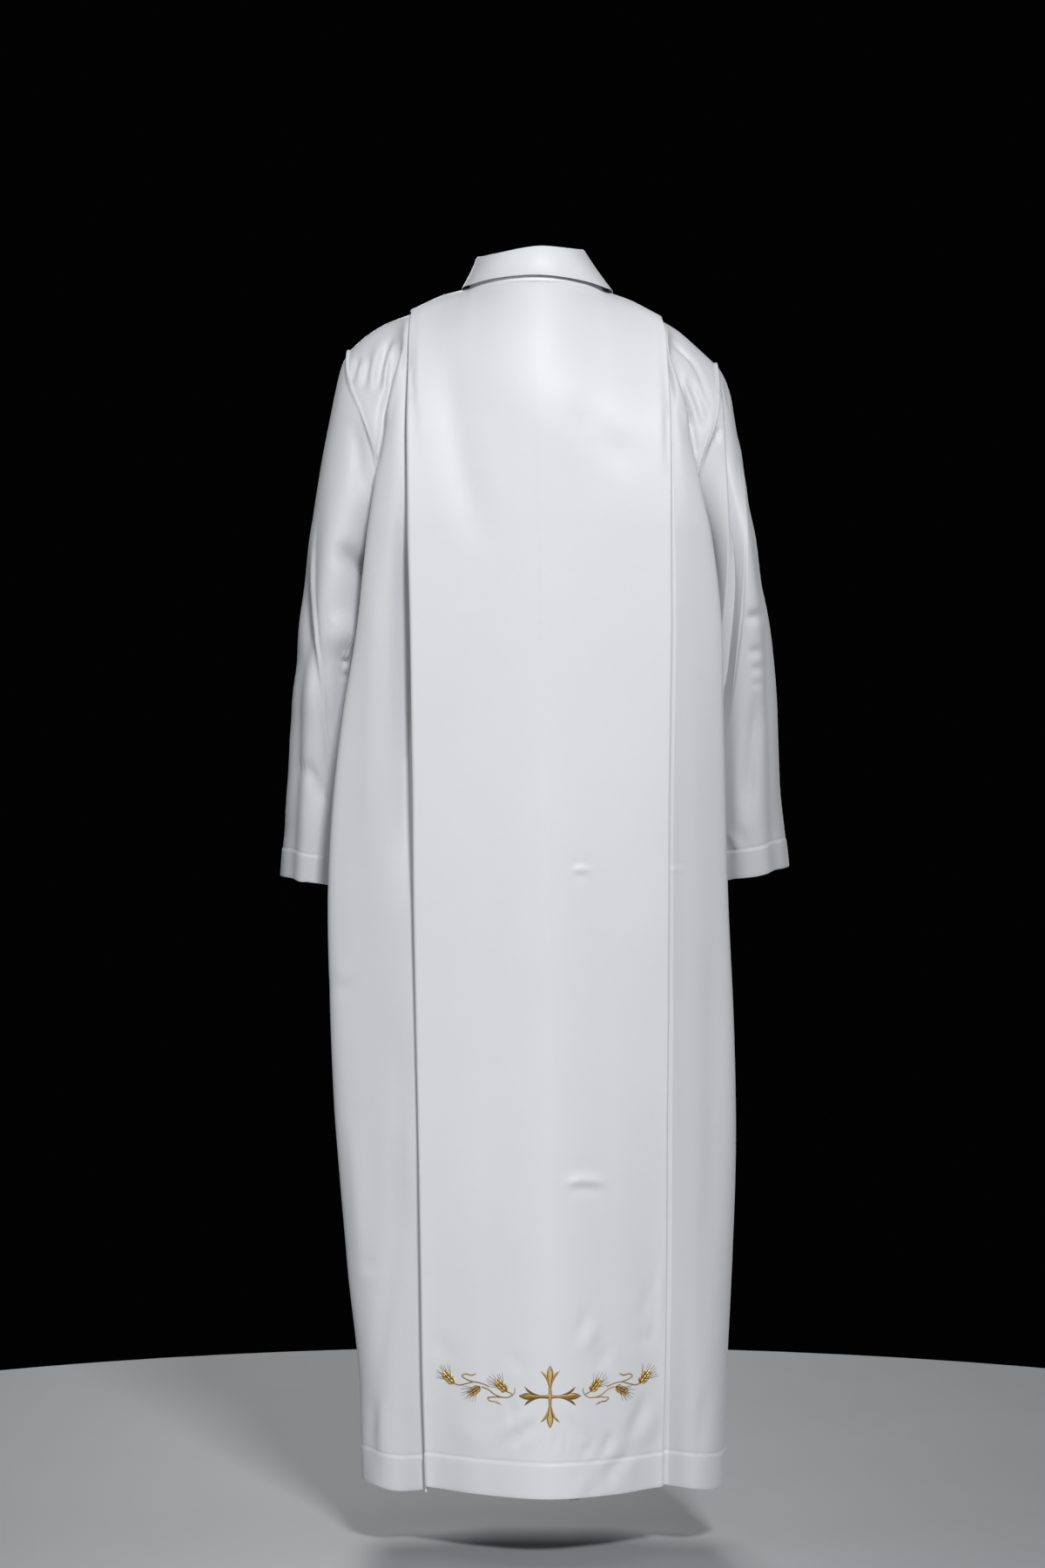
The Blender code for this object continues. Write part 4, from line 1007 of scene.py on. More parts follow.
def cloth_material(name, white):
    """White suiting: a fine twill in its UV map, which is in metres, and slow changes of tone."""
    material, tree, shader = new_material(name, white, 0.5, sheen=0.25, specular=0.42)
    link = tree.links.new
    uv = add(tree, "ShaderNodeUVMap", uv_map="cloth").outputs[0]

    def wave(scale, turn, distortion):
        mapping = add(tree, "ShaderNodeMapping", Rotation=(0, 0, turn), Scale=(scale, scale, scale))
        link(uv, mapping.inputs[0])
        band = add(tree, "ShaderNodeTexWave", wave_type="BANDS", bands_direction="X", Scale=1.0,
                   Distortion=distortion, Detail=1.0)
        link(mapping.outputs[0], band.inputs[0])
        return band.outputs["Fac"]

    def mix(kind, a, b):
        node = add(tree, "ShaderNodeMath", operation=kind)
        for socket, value in zip(node.inputs, (a, b)):
            if isinstance(value, (int, float)):
                socket.default_value = value
            else:
                link(value, socket)
        return node.outputs[0]

    twill = wave(TWILL_SCALE, math.radians(62), 0.35)
    weft = wave(TWILL_SCALE, math.radians(90), 0.6)
    weave = mix("ADD", mix("MULTIPLY", twill, 0.65), mix("MULTIPLY", weft, 0.35))
    slub = noise(tree, uv, 260.0, 2.0)
    tone = noise(tree, object_place(tree), 7.0, 3.0)
    fine_shade = mix("ADD", mix("MULTIPLY", slub, 0.25), mix("MULTIPLY", weave, 0.2))
    shade = mix("ADD", mix("MULTIPLY", tone, 0.55), fine_shade)
    shade_by(tree, shader, shade, [part * SLUB_SHADE for part in white], white, 0.3, 0.7)
    rough = add(tree, "ShaderNodeMapRange")
    rough.inputs["To Min"].default_value, rough.inputs["To Max"].default_value = 0.44, 0.56
    link(shade, rough.inputs[0])
    link(rough.outputs[0], shader.inputs["Roughness"])
    fine = bump(tree, weave, 0.22, 0.06 * MM)
    soft = bump(tree, noise(tree, uv, 90.0, 3.0), 0.35, 0.35 * MM)
    link(fine.outputs[0], soft.inputs["Normal"])
    link(soft.outputs[0], shader.inputs["Normal"])
    return material


def thread_material(name, colour, dark, metallic, roughness):
    """Thread: its colour and surface have a fine grain, so its colour changes a little."""
    material, tree, shader = new_material(name, colour, roughness, metallic, sheen=0.1, specular=0.6)
    grainy = noise(tree, object_place(tree), 900.0, 2.0)
    shade_by(tree, shader, grainy, dark, colour, 0.35, 0.62)
    tree.links.new(bump(tree, grainy, 0.5, 0.12 * MM).outputs[0], shader.inputs["Normal"])
    return material


cloth = cloth_material("alb_cloth", CLOTH)
# A darker copy of the cloth for single layers: partly the cloth's own sheerness, partly painted shade.
single_layer_shaded_cloth = cloth_material("alb_single_layer_shaded_cloth", [part * SINGLE_LAYER_SHADE for part in CLOTH])
white_thread = thread_material("white_thread", (0.84, 0.855, 0.88), (0.70, 0.72, 0.76), 0.0, 0.4)
# The golds are the threads' own colours, but the cross's vertical arms use one step lighter than the horizontal
# ones as painted sheen.
gold_light = thread_material("gold_thread_light", (0.82, 0.61, 0.25), (0.60, 0.39, 0.12), 0.4, 0.34)
gold_middle = thread_material("gold_thread", (0.55, 0.355, 0.09), (0.33, 0.19, 0.045), 0.45, 0.36)
gold_dark = thread_material("gold_thread_dark", (0.22, 0.125, 0.04), (0.11, 0.06, 0.02), 0.35, 0.42)


# ---------------------------------------------------------------- sheets of cloth

SIDE, UNDER, PANEL = 0, 1, 2  # the back's layers: its sides, the folds under the panel, and the panel
SEAM_WIDTH = 3 * MM
TOP_CALM, SLEEVE_CALM = 14 * MM, 10 * MM  # from the top edge or a sleeve's seam to where creases are full
SEAM_DIP = 0.9 * MM
TURN_FADE = 4  # columns over which the creases die out at a turned edge
UNDER_START_DROP = 150 * MM  # from here to twice as low, the side creases begin to run on under the panel
SEAM_RIDGE = 2.5 * MM  # how high the cloth stands up beside a sleeve's seam
SEAM_RIDGE_PLACE = 3.6 * MM, 2.0 * MM  # how far from the seam, and how wide
SLEEVE_SEAM_DIP = SLEEVE_SEAM_WIDTH = 1.6 * MM
SLEEVE_TRIM_REACH = 0.13  # how far round the sleeve its trim spreads
# How far a sleeve's outer line stands out of the solid's.
SLEEVE_TRIM = {
    LEFT: table("drop out", """
70 0; 90 -1.5; 213 -1.5; 296 0; 420 0; 461 -3; 502 -5.5; 545 -4; 585 -4; 626 0; 668 2
"""),
    RIGHT: table("drop out", """
130 0.5; 168 0.5; 192 0; 213 -3; 235 -4; 255 -5.5; 290 -4.5; 340 -6.5; 378 -4.5; 420 -2.5; 480 -1
520 -1.5; 585 0; 626 3; 668 4.5
"""),
}
SLEEVE_SIDE_FADE = 2.4  # how quickly the creases of a sleeve's back die out at its sides
PLACKET_TOP_ROW = 5  # the fronts' row where the placket begins
PLACKET_STEPS = 9  # columns in each half of it
PLACKET_GAP = 0.6 * MM  # over the fronts
PLACKET_STITCH_DIP = 0.25 * MM
# A turned hem's rows: how far each stands out, and how much it puckers, as shares of TURNED_HEM.
HEM_SHAPE = (0.05, -0.5, 0.9, 1.05, 1, 1, 1, 1, 0.95, 0.6)
HEM_PUCKERS = (0.3, 0, 0.4, 0.6, 0.5, 0.3, 0.3, 0.4, 0.5, 0.5)


class Sheet:
    """A grid of points (column, row), the normals of its outer face and its thickness to each side."""

    def __init__(self, points, away, closed=False):
        self.points = points
        self.closed = closed
        self.away = away
        self.extra = np.zeros(points.shape[:2])
        self.renew()

    def renew(self):
        self.normals = tube_normals(self.points) if self.closed else facing(self.points, self.away)

    def move_out(self, heights):
        self.points = self.points + self.normals * heights[..., None]
        self.renew()

    def outer(self, lift=0.0):
        return self.points + self.normals * (WALL / 2 + self.extra + lift)[..., None]

    def turn_hem(self):
        """A turned hem: thicker below its stitch line, where the stitches draw it in."""
        rows = len(HEM_SHAPE)
        self.extra[:, -rows:] = TURNED_HEM * np.array(HEM_SHAPE)
        along = spread(self.points, 0)[:, -rows:]
        pucker = 0.25 * np.sin(along / (5.2 * MM)) + 0.2 * np.sin(along / (3.1 * MM) + 1.7)
        self.extra[:, -rows:] += TURNED_HEM * pucker * np.array(HEM_PUCKERS)


def quads_between(first, second):
    """Quads between two grids of vertex numbers, the second a step across from the first."""
    return np.stack([first[:, :-1], second[:, :-1], second[:, 1:], first[:, 1:]], axis=-1).reshape(-1, 4)


def build_piece(name, sheet, centre=0, single=True):
    """A closed shell round a sheet, with a UV map in metres measured from the column named centre.

    Single says whether it is one layer of cloth, or which of its columns are. One layer gets the darker copy of
    the cloth, which is partly painted shade.
    """
    columns, rows = sheet.points.shape[:2]
    half = (WALL / 2 + sheet.extra)[..., None]
    outer = sheet.points + sheet.normals * half
    inner = sheet.points - sheet.normals * (WALL / 2 + np.maximum(sheet.extra, 0))[..., None]
    count = columns * rows
    vertices = np.concatenate([outer.reshape(-1, 3), inner.reshape(-1, 3)])
    index = np.arange(count).reshape(columns, rows)
    first = index if sheet.closed else index[:-1]
    second = np.roll(index, -1, axis=0) if sheet.closed else index[1:]
    quads = [
        quads_between(first, second),
        count + quads_between(first, second)[:, [0, 3, 2, 1]],
        np.stack([second[:, 0], first[:, 0], count + first[:, 0], count + second[:, 0]], axis=-1),
        np.stack([first[:, -1], second[:, -1], count + second[:, -1], count + first[:, -1]], axis=-1),
    ]
    if not sheet.closed:
        left, right = index[0], index[-1]
        quads.append(np.stack([left[:-1], left[1:], count + left[1:], count + left[:-1]], axis=-1))
        quads.append(np.stack([right[1:], right[:-1], count + right[:-1], count + right[1:]], axis=-1))
    quads = np.concatenate(quads)
    a, b, d = (vertices[quads[0, i]] for i in (0, 1, 3))
    if np.dot(np.cross(b - a, d - a), sheet.normals[0, 0]) < 0:
        quads = quads[:, ::-1]
    mesh = bpy.data.meshes.new(name)
    mesh.from_pydata(vertices.tolist(), [], quads.tolist())
    across = spread(sheet.points, 0)
    across = across - across[centre]
    uv = np.stack([across, spread(sheet.points, 1)], axis=-1).reshape(-1, 2)
    layer = mesh.uv_layers.new(name="cloth")
    loops = np.empty(len(mesh.loops), dtype=int)
    mesh.loops.foreach_get("vertex_index", loops)
    layer.data.foreach_set("uv", uv[loops % count].ravel())
    mesh.shade_smooth()
    mesh.set_sharp_from_angle(angle=math.radians(60))
    mesh.materials.append(single_layer_shaded_cloth if single is True else cloth)
    if isinstance(single, np.ndarray):
        mesh.materials.append(single_layer_shaded_cloth)
        mesh.polygons.foreach_set("material_index", single[loops[::4] % count // rows].astype(int))
    return link_piece(name, mesh)


def new_object(name, data):
    """An object in the scene's own collection."""
    made = bpy.data.objects.new(name, data)
    bpy.context.scene.collection.objects.link(made)
    return made


def link_piece(name, mesh):
    piece = new_object(name, mesh)
    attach(piece, "root")
    return piece


def ridge(distance, place, width):
    return np.exp(-(((distance - place) / width) ** 2))


def from_last(points):
    """Distances across a grid from its last column."""
    return spread(points[::-1], 0)[::-1]


def layered_half(side):
    """One half of the back, the layer of each column, and its share of the side's creases."""
    points = back_half(side)
    sides = len(np.arange(SIDE_K, PANEL_K + STEP / 2, -STEP))
    layer = np.full(len(points), UNDER)
    layer[:sides] = SIDE
    layer[-round(PANEL_K / STEP) - 1:] = PANEL
    share = np.zeros(len(points))
    share[:sides] = 1
    share[sides:sides + UNDERLAY_STEPS + 1] = 1 - smooth_step(np.linspace(0, 2, UNDERLAY_STEPS + 1))
    return points, layer, share


def make_back():
    """The back from its left side to its right, the layer of each column, and the number of the middle one."""
    left, right = layered_half(LEFT), layered_half(RIGHT)
    points, layer, share = (np.concatenate([own, other[-2::-1]]) for own, other in zip(left, right))
    middle = len(left[0]) - 1
    back = Sheet(points, (0, 1, 0))
    on_left = np.arange(len(points)) < middle
    heights = np.zeros(points.shape[:2])
    low = smooth_step((-points[..., 2] - UNDER_START_DROP) / UNDER_START_DROP)
    for chosen, folds in (
        (layer == PANEL, PANEL_CREASES),
        ((share > 0) & on_left, LEFT_SIDE_CREASES),
        ((share > 0) & ~on_left, RIGHT_SIDE_CREASES),
    ):
        heights[chosen] = crease_heights(points[chosen], folds)
    from_edge = np.minimum(spread(points, 0), from_last(points))
    heights -= SEAM_DIP * ridge(from_edge, 0, SEAM_WIDTH)
    heights *= smooth_step(spread(points, 1) / TOP_CALM)
    # The creases die out where a layer turns under, and high up also where one runs on under the panel.
    edge = np.ones(points.shape[:2])
    for i in np.nonzero(np.diff(layer))[0]:
        runs_on = low if SIDE in layer[i:i + 2] else 0 * low
        for away in range(TURN_FADE):
            for j in (i - away, i + 1 + away):
                edge[j] = np.minimum(edge[j], away / TURN_FADE + runs_on[j])
    under = layer == UNDER
    edge *= np.where(under, share, 1)[:, None] * np.where(under[:, None], low, 1)
    back.move_out(heights * edge)
    back.turn_hem()
    return back, layer, middle


def make_front(side):
    points = front_half(side)
    front = Sheet(points, (0, -1, 0))
    heights = crease_heights(points, FRONT_CREASES[side])
    heights -= SEAM_DIP * ridge(from_last(points), 0, SEAM_WIDTH)
    heights *= smooth_step(spread(points, 1) / TOP_CALM)
    front.move_out(heights)
    front.turn_hem()
    return front


def make_sleeve(side):
    turn, points = sleeve_points(side)
    sleeve = Sheet(points, None, closed=True)
    backward = np.sin(turn * 2 * math.pi) * SLEEVE_SIDE_FADE
    at_back, at_front = (smooth_step(way + 0.3)[:, None] for way in (backward, -backward))
    heights = crease_heights(points, LEFT_SLEEVE_CREASES if side == LEFT else RIGHT_SLEEVE_CREASES) * at_back
    heights = heights + crease_heights(points, SLEEVE_FRONT_CREASES[side]) * at_front
    down = spread(points, 1)
    from_outer = np.minimum(turn, 1 - turn)[:, None]
    heights += read(SLEEVE_TRIM[side], "out", -points[..., 2]) * ridge(from_outer, 0, SLEEVE_TRIM_REACH)
    heights *= smooth_step(down / SLEEVE_CALM)
    rise = SEAM_RIDGE * (1 + 0.25 * np.sin(turn * 31) + 0.2 * np.sin(turn * 53 + 1))[:, None]
    heights += rise * ridge(down, *SEAM_RIDGE_PLACE) - SLEEVE_SEAM_DIP * ridge(down, 0, SLEEVE_SEAM_WIDTH)
    sleeve.move_out(heights)
    sleeve.turn_hem()
    return sleeve


def make_collar():
    points = collar_points()
    collar = Sheet(points, (0, -1, 0))
    # The stand's outer face is the one towards the body, so the normals point out at its lower half.
    if np.dot(collar.normals[len(points) // 2, 0], (0, 1, 0)) < 0:
        collar.normals = -collar.normals
    return collar


def make_placket():
    """A plain strip over the front opening, moved out from the fronts' own points."""
    rows = int(np.searchsorted(skirt_drops(), PLACKET_DROP)) + ARMHOLE_ROWS
    strips = []
    share = np.linspace(1, 0, PLACKET_STEPS)
    for side in (LEFT, RIGHT):
        step = front_surface(side, np.array([0.0, 1.0])[:, None] + np.zeros(row_count()))
        width = PLACKET_HALF / np.linalg.norm(step[1] - step[0], axis=-1)
        points = front_surface(side, share[:, None] * width)
        strips.append(points if side == LEFT else points[-2::-1])
    points = np.concatenate(strips)
    placket = Sheet(points, (0, -1, 0))
    placket.points = placket.points + placket.normals * (WALL + PLACKET_GAP)
    kept = slice(PLACKET_TOP_ROW, rows)
    placket.points, placket.extra = placket.points[:, kept], placket.extra[:, kept]
    placket.renew()
    edge = np.minimum(spread(placket.points, 0), from_last(placket.points))
    placket.extra -= PLACKET_STITCH_DIP * ridge(edge, 3.4 * MM, 1.0 * MM)
    return placket


back, back_layer, back_middle = make_back()
fronts = {side: make_front(side) for side in (LEFT, RIGHT)}
sleeves = {side: make_sleeve(side) for side in (LEFT, RIGHT)}
collar = make_collar()
placket = make_placket()

back_piece = build_piece("alb_back", back, back_middle, single=back_layer == SIDE)
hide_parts("back")
front_pieces, sleeve_pieces = {}, {}
for side, name in SIDE_NAMES.items():
    front_pieces[side] = build_piece(f"alb_front_{name}", fronts[side])
    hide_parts(f"front_{name}")
    sleeve_pieces[side] = build_piece(f"alb_sleeve_{name}", sleeves[side])
    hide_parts(f"sleeve_{name}")
collar_piece = build_piece("alb_collar", collar, single=False)
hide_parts("collar")
placket_piece = build_piece("alb_placket", placket, single=False)
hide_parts("front_placket")


# ---------------------------------------------------------------- thread

class Threads:
    """One mesh of many fine tubes."""

    def __init__(self):
        self.vertices, self.faces, self.count = [], [], 0

    def tube(self, path, radii, normals, sides=5, flatness=1.0):
        """A tube along a path, with its radius at each point. It is flatness times as high as it is wide."""
        path, normals = np.asarray(path), np.asarray(normals)
        along = unit(np.gradient(path, axis=0))
        across = unit(np.cross(along, normals))
        up = np.cross(across, along)
        angle = np.arange(sides) / sides * 2 * math.pi
        cosine, sine = (wave(angle)[None, :, None] for wave in (np.cos, np.sin))
        ring = across[:, None] * cosine + up[:, None] * sine * flatness
        points = path[:, None] + ring * np.asarray(radii)[:, None, None]
        n, base = len(path), self.count
        self.vertices.append(points.reshape(-1, 3))
        index = base + np.arange(n * sides).reshape(n, sides)
        turned = np.roll(index, -1, axis=1)
        quads = np.stack([index[:-1], turned[:-1], turned[1:], index[1:]], axis=-1).reshape(-1, 4)
        self.faces += quads.tolist()
        self.faces.append(index[0][::-1].tolist())
        self.faces.append(index[-1].tolist())
        self.count += n * sides

    def object(self, name, material, slot):
        mesh = bpy.data.meshes.new(name)
        mesh.from_pydata(np.concatenate(self.vertices).tolist(), [], self.faces)
        mesh.validate()
        mesh.shade_smooth()
        mesh.set_sharp_from_angle(angle=math.radians(70))
        mesh.materials.append(material)
        return link_piece(name, mesh)


def stitch_line(threads, points, normals):
    """A row of stitches along a line on the cloth."""
    knots = lengths_along(points)
    for i in range(int(knots[-1] / STITCH_PITCH)):
        at = (i + 0.5 + STITCH["along"] * STITCH_SHARE) * STITCH_PITCH
        out = unit(points_at(at, knots, normals))
        path = points_at(at, knots, points) + out * STITCH["lift"][:, None]
        threads.tube(path, STITCH_RADIUS * STITCH["thick"], out, sides=4)


STITCH_PITCH, STITCH_SHARE, STITCH_RADIUS = 3.1 * MM, 0.74, 0.3 * MM
# One stitch: places along it as shares of its length, how far they stand out, and how thick they are.
STITCH = {
    "along": np.array([-0.5, -0.3, 0, 0.3, 0.5]),
    "lift": np.array([-0.35, 0.1, 0.3, 0.1, -0.35]) * MM,
    "thick": np.array([0.6, 1, 1, 1, 0.6]),
}
STITCH_GAP = 0.05 * MM
HEM_STITCH_ROW = -9
NECK_STITCH_HALF, NECK_STITCH_DROP = 62 * MM, 9 * MM
stitching = Threads()
outer = back.outer(STITCH_GAP)[:, HEM_STITCH_ROW]
runs = np.split(np.arange(len(outer)), np.nonzero(np.diff(back_layer))[0] + 1)
for run in runs:
    if back_layer[run[0]] != UNDER:
        stitch_line(stitching, outer[run], back.normals[run, HEM_STITCH_ROW])
for side in (LEFT, RIGHT):
    front = fronts[side]
    stitch_line(stitching, front.outer(STITCH_GAP)[:, HEM_STITCH_ROW], front.normals[:, HEM_STITCH_ROW])
    loop, normals = (
        np.concatenate([grid, grid[:1]])[:, HEM_STITCH_ROW]
        for grid in (sleeves[side].outer(STITCH_GAP), sleeves[side].normals)
    )
    stitch_line(stitching, loop, normals)
# The line of stitches that holds the neck's seam, below the collar.
top = back.outer(STITCH_GAP)
below = spread(top, 1)
at_neck = np.nonzero((back_layer == PANEL) & (np.abs(top[:, 0, 0]) < NECK_STITCH_HALF))[0]
neck_line = np.array([points_at(NECK_STITCH_DROP, below[i], top[i]) for i in at_neck])
stitch_line(stitching, neck_line, back.normals[at_neck, 2])
strip = placket.outer(STITCH_GAP)
for column in (1, -2):
    stitch_line(stitching, strip[column, 2:-2], placket.normals[column, 2:-2])
stitch_line(stitching, strip[1:-1, -2], placket.normals[1:-1, -2])
stitching.object("alb_stitching", white_thread, "cloth")


# ---------------------------------------------------------------- embroidery

CROSS_X, CROSS_DROP = -14 * MM, 1285 * MM
THREAD = 0.42 * MM  # the pitch of the satin stitches
ROWS_A_THREAD = 3
# A cross arm by its distance from the centre: half the width of its shaft and bud.
ARM = table("at half", "0 1.8; 4 1.4; 9 1.2; 14 1.4; 18 1.9; 22 2.7; 26 3.3; 29 2.9; 32 1.6; 35 0.1")
HORN = table("share at off half", """
0 9 0.8 0.3
300 16 2.1 1
600 22 4.4 1.5
850 26.5 7.8 1.2
1000 29.4 11 0.2
""")
HORN_LENGTH = 26 * MM
# A spray's lower and upper stem, its two hooked tendrils and the branch to the inner ear.
STEMS = (
    "40,9 41,3 46,-1.5 54,-2.5 63,0 71,5.5 79,8",
    "69,8.5 77,11.5 87,13 97,10 105,8 112,10",
    "87,13 96,15.5 101,19 97,21.5 90,20.5 85,22.5",
    "55,-2.6 65,-3 71.5,-4.6 69,-7.2 62,-8.2 56,-11",
    "43,1.5 47,3.5 51,5",
)
EARS = (((111, 9.5), 45, 1.0), ((81, 7.5), -38, 0.92), ((50, 5), 42, 0.98))  # root, direction in degrees, size
EAR_ROWS = 6
AWNS, AWN_POINTS, AWN_RADIUS = 9, 12, 0.36 * MM
CORD_RADIUS = 0.42 * MM
EAR_LENGTH, EAR_WIDTH = 19 * MM, 9.5 * MM
GRAIN_LENGTH, GRAIN_WIDTH, GRAIN_SPACING = 5.6 * MM, 2.3 * MM, 2.45 * MM


def panel_tree():
    columns = np.nonzero(back_layer == PANEL)[0]
    points = back.outer()[columns]
    index = np.arange(points.size // 3).reshape(points.shape[:2])
    quads = quads_between(index[:-1], index[1:])
    return BVHTree.FromPolygons(points.reshape(-1, 3).tolist(), quads.tolist())


def on_panel(flat):
    """The panel's points and normals at flat places, as (towards the right sleeve, up) from the cross."""
    found, normals = [], []
    for across, up in flat:
        start = Vector((CROSS_X - across, 1.0, up - CROSS_DROP))
        place, normal, _, _ = panel.ray_cast(start, Vector((0, -1, 0)))
        found.append(tuple(place))
        normals.append(tuple(normal if normal.y > 0 else -normal))
    return np.array(found), np.array(normals)


class Satin:
    """One mesh of satin-stitched patches: rounded across, with a ridge for each thread."""

    def __init__(self):
        self.vertices, self.faces, self.count = [], [], 0

    def patch(self, left, right, rise, columns=7):
        """A patch between two edges, (row, 2) each, given at a fraction of the threads' pitch."""
        rows = len(left)
        share = np.linspace(0, 1, columns)[None, :, None]
        flat = left[:, None] + (right - left)[:, None] * share
        width = np.linalg.norm(right - left, axis=-1)
        crown = (1 - (2 * share[0, :, 0] - 1) ** 2) ** 0.6
        lift = rise * np.minimum(1, width / (2.4 * MM))[:, None] * crown[None]
        ply = 0.5 + 0.5 * np.cos(np.arange(rows) / ROWS_A_THREAD * 2 * math.pi)
        lift = lift + 0.13 * MM * ply[:, None] * crown[None] ** 0.3 - 0.12 * MM * (1 - crown[None])
        points, normals = on_panel(flat.reshape(-1, 2))
        points = points + normals * (lift.reshape(-1, 1) + 0.05 * MM)
        index = self.count + np.arange(rows * columns).reshape(rows, columns)
        self.vertices.append(points)
        quads = quads_between(index[:-1], index[1:])[:, [0, 3, 2, 1]]
        a, b, d = points[0], points[1], points[columns]
        if np.dot(np.cross(b - a, d - a), normals[0]) < 0:
            quads = quads[:, ::-1]
        self.faces += quads.tolist()
        self.count += rows * columns

    object = Threads.object


def rows_for(length):
    return max(6, int(length / THREAD * ROWS_A_THREAD))


def turned(direction):
    return np.stack([-direction[..., 1], direction[..., 0]], axis=-1)


def ribbon(line, half):
    """The two edges of a band along a line (row, 2)."""
    side = turned(unit(np.gradient(line, axis=0))) * half[:, None]
    return line + side, line - side


def cross_arm(direction, fill, horn_fill, edges):
    direction = np.array(direction, float)
    side = turned(direction)
    at = np.linspace(0, ARM["at"][-1], rows_for(ARM["at"][-1]))
    line = direction * at[:, None]
    left, right = ribbon(line, read(ARM, "half", at, key="at"))
    for sign in (1, -1):
        share = np.linspace(0, 1, rows_for(HORN_LENGTH))
        out, off, half = (read(HORN, name, share, key="share") for name in ("at", "off", "half"))
        centre = direction * out[:, None] + sign * side * off[:, None]
        horn_fill.patch(*ribbon(centre, half), 0.5 * MM, columns=5)
    fill.patch(left, right, 0.75 * MM)
    for edge in (left, right):
        cord(edges, edge[::ROWS_A_THREAD], CORD_RADIUS)


def cord(threads, flat, radius, lift=0.25 * MM, taper=1.0):
    """A plain cord along a flat line."""
    points, normals = on_panel(flat)
    thick = radius * np.linspace(1, taper, len(points))
    threads.tube(points + normals * lift, thick, normals, sides=5)


def twisted(threads, flat, radius=0.46 * MM, pitch=3.0 * MM):
    """A two-ply cord along a flat line."""
    knots = lengths_along(flat)
    at = np.linspace(0, knots[-1], max(8, int(knots[-1] / (0.45 * MM))))
    line = points_at(at, knots, flat)
    side = turned(unit(np.gradient(line, axis=0)))
    for phase in (0, math.pi):
        turn = at / pitch * 2 * math.pi + phase
        points, normals = on_panel(line + side * (np.cos(turn) * radius * 0.62)[:, None])
        points = points + normals * (radius * (0.85 + 0.5 * np.sin(turn)))[:, None]
        ends = np.clip(np.minimum(at, at[-1] - at) / (1.2 * MM), 0.35, 1)
        threads.tube(points, radius * 0.75 * ends, normals, sides=5)


def grain(fill, base, direction, length, width, rise=0.75 * MM):
    at = np.linspace(0, 1, rows_for(length))
    half = width / 2 * np.sin(math.pi * at**0.8) ** 0.8 + 0.02 * MM
    fill.patch(*ribbon(base + direction * (at * length)[:, None], half), rise, columns=5)


def wheat_ear(base, angle, size, bed, fills, awns, seed):
    """An ear of wheat: a dark bed, ranks of grains on both sides of a middle one, and a fan of awns."""
    draw = np.random.default_rng(seed)
    base = np.array(base, float) * MM
    axis = np.array([math.cos(angle), math.sin(angle)])
    side = turned(axis)
    grain(bed, base - axis * MM, axis, EAR_LENGTH * size, EAR_WIDTH * size, rise=0.1 * MM)
    for row in range(EAR_ROWS):
        at = row * GRAIN_SPACING * size
        spread_out = (0.55 + 0.95 * math.sin(math.pi * (row + 1.2) / (EAR_ROWS + 1.4))) * MM * size * 2.6
        for sign in (1, -1):
            tilt = sign * (0.72 - 0.06 * row) + draw.normal() * 0.05
            out = axis * math.cos(tilt) + side * math.sin(tilt)
            start = base + axis * at + side * sign * spread_out * 0.55
            grain(fills[(row + (sign > 0)) % 2], start, out, GRAIN_LENGTH * size, GRAIN_WIDTH * size)
        if row % 2 == 0 or row == EAR_ROWS - 1:
            middle = base + axis * (at + 1.2 * MM)
            grain(fills[0], middle, axis, GRAIN_LENGTH * size * 1.05, GRAIN_WIDTH * size * 0.9)
    for i in range(AWNS):
        from_middle = i - AWNS // 2
        aside = abs(from_middle)
        tilt = from_middle / 4 * 0.66 + draw.normal() * 0.04
        out = axis * math.cos(tilt) + side * math.sin(tilt)
        start = base + axis * (7.5 + 3.2 * (1 - aside / 4)) * MM * size + side * math.sin(tilt) * 5.5 * MM * size
        length = (15.5 - 0.8 * aside + draw.normal() * 1.0) * MM * size
        at = np.linspace(0, 1, AWN_POINTS)
        bend = side * (np.sign(tilt) * 0.9 * MM * size) * (at**2)[:, None]
        cord(awns, start + out * (at * length)[:, None] + bend, AWN_RADIUS, lift=0.2 * MM, taper=0.4)


def spray(mirror, stretch, turn, bed, fills, stems, awns, seed):
    """Three ears on waving stems with two hooked tendrils. Places run outwards from the cross, in mm."""
    def place(across, up):
        return mirror * across * stretch, up

    def heading(degrees):
        angle = math.radians(degrees + turn)
        return angle if mirror > 0 else math.pi - angle

    for stem in STEMS:
        line, _ = smooth_line([place(*point) for point in pairs(stem)], 0.8 * MM, 8)
        twisted(stems, line)
    for number, (root, degrees, size) in enumerate(EARS):
        wheat_ear(place(*root), heading(degrees), size, bed, fills, awns, seed + number)


panel = panel_tree()
satin_light, satin_middle, satin_dark = Satin(), Satin(), Satin()
cords_middle, cords_dark = Threads(), Threads()
# Painted sheen and shade: the horizontal arms and their horns are filled one gold darker than the vertical arms
# and theirs, for satin that catches less light.
for sign in (1, -1):
    cross_arm((sign, 0), satin_middle, satin_dark, cords_dark)
for sign in (1, -1):
    cross_arm((0, sign), satin_light, satin_middle, cords_dark)
spray(-1, 1.0, 0, satin_dark, (satin_light, satin_middle), cords_middle, cords_dark, 11)
spray(1, 0.94, 6, satin_dark, (satin_light, satin_middle), cords_middle, cords_dark, 23)
for patches, name, material in (
    (satin_light, "embroidery_light", gold_light), (satin_middle, "embroidery_middle", gold_middle),
    (satin_dark, "embroidery_dark", gold_dark), (cords_middle, "embroidery_stems", gold_middle),
    (cords_dark, "embroidery_edges", gold_dark),
):
    patches.object(name, material, "gold_thread")


# ---------------------------------------------------------------- stage, light and camera

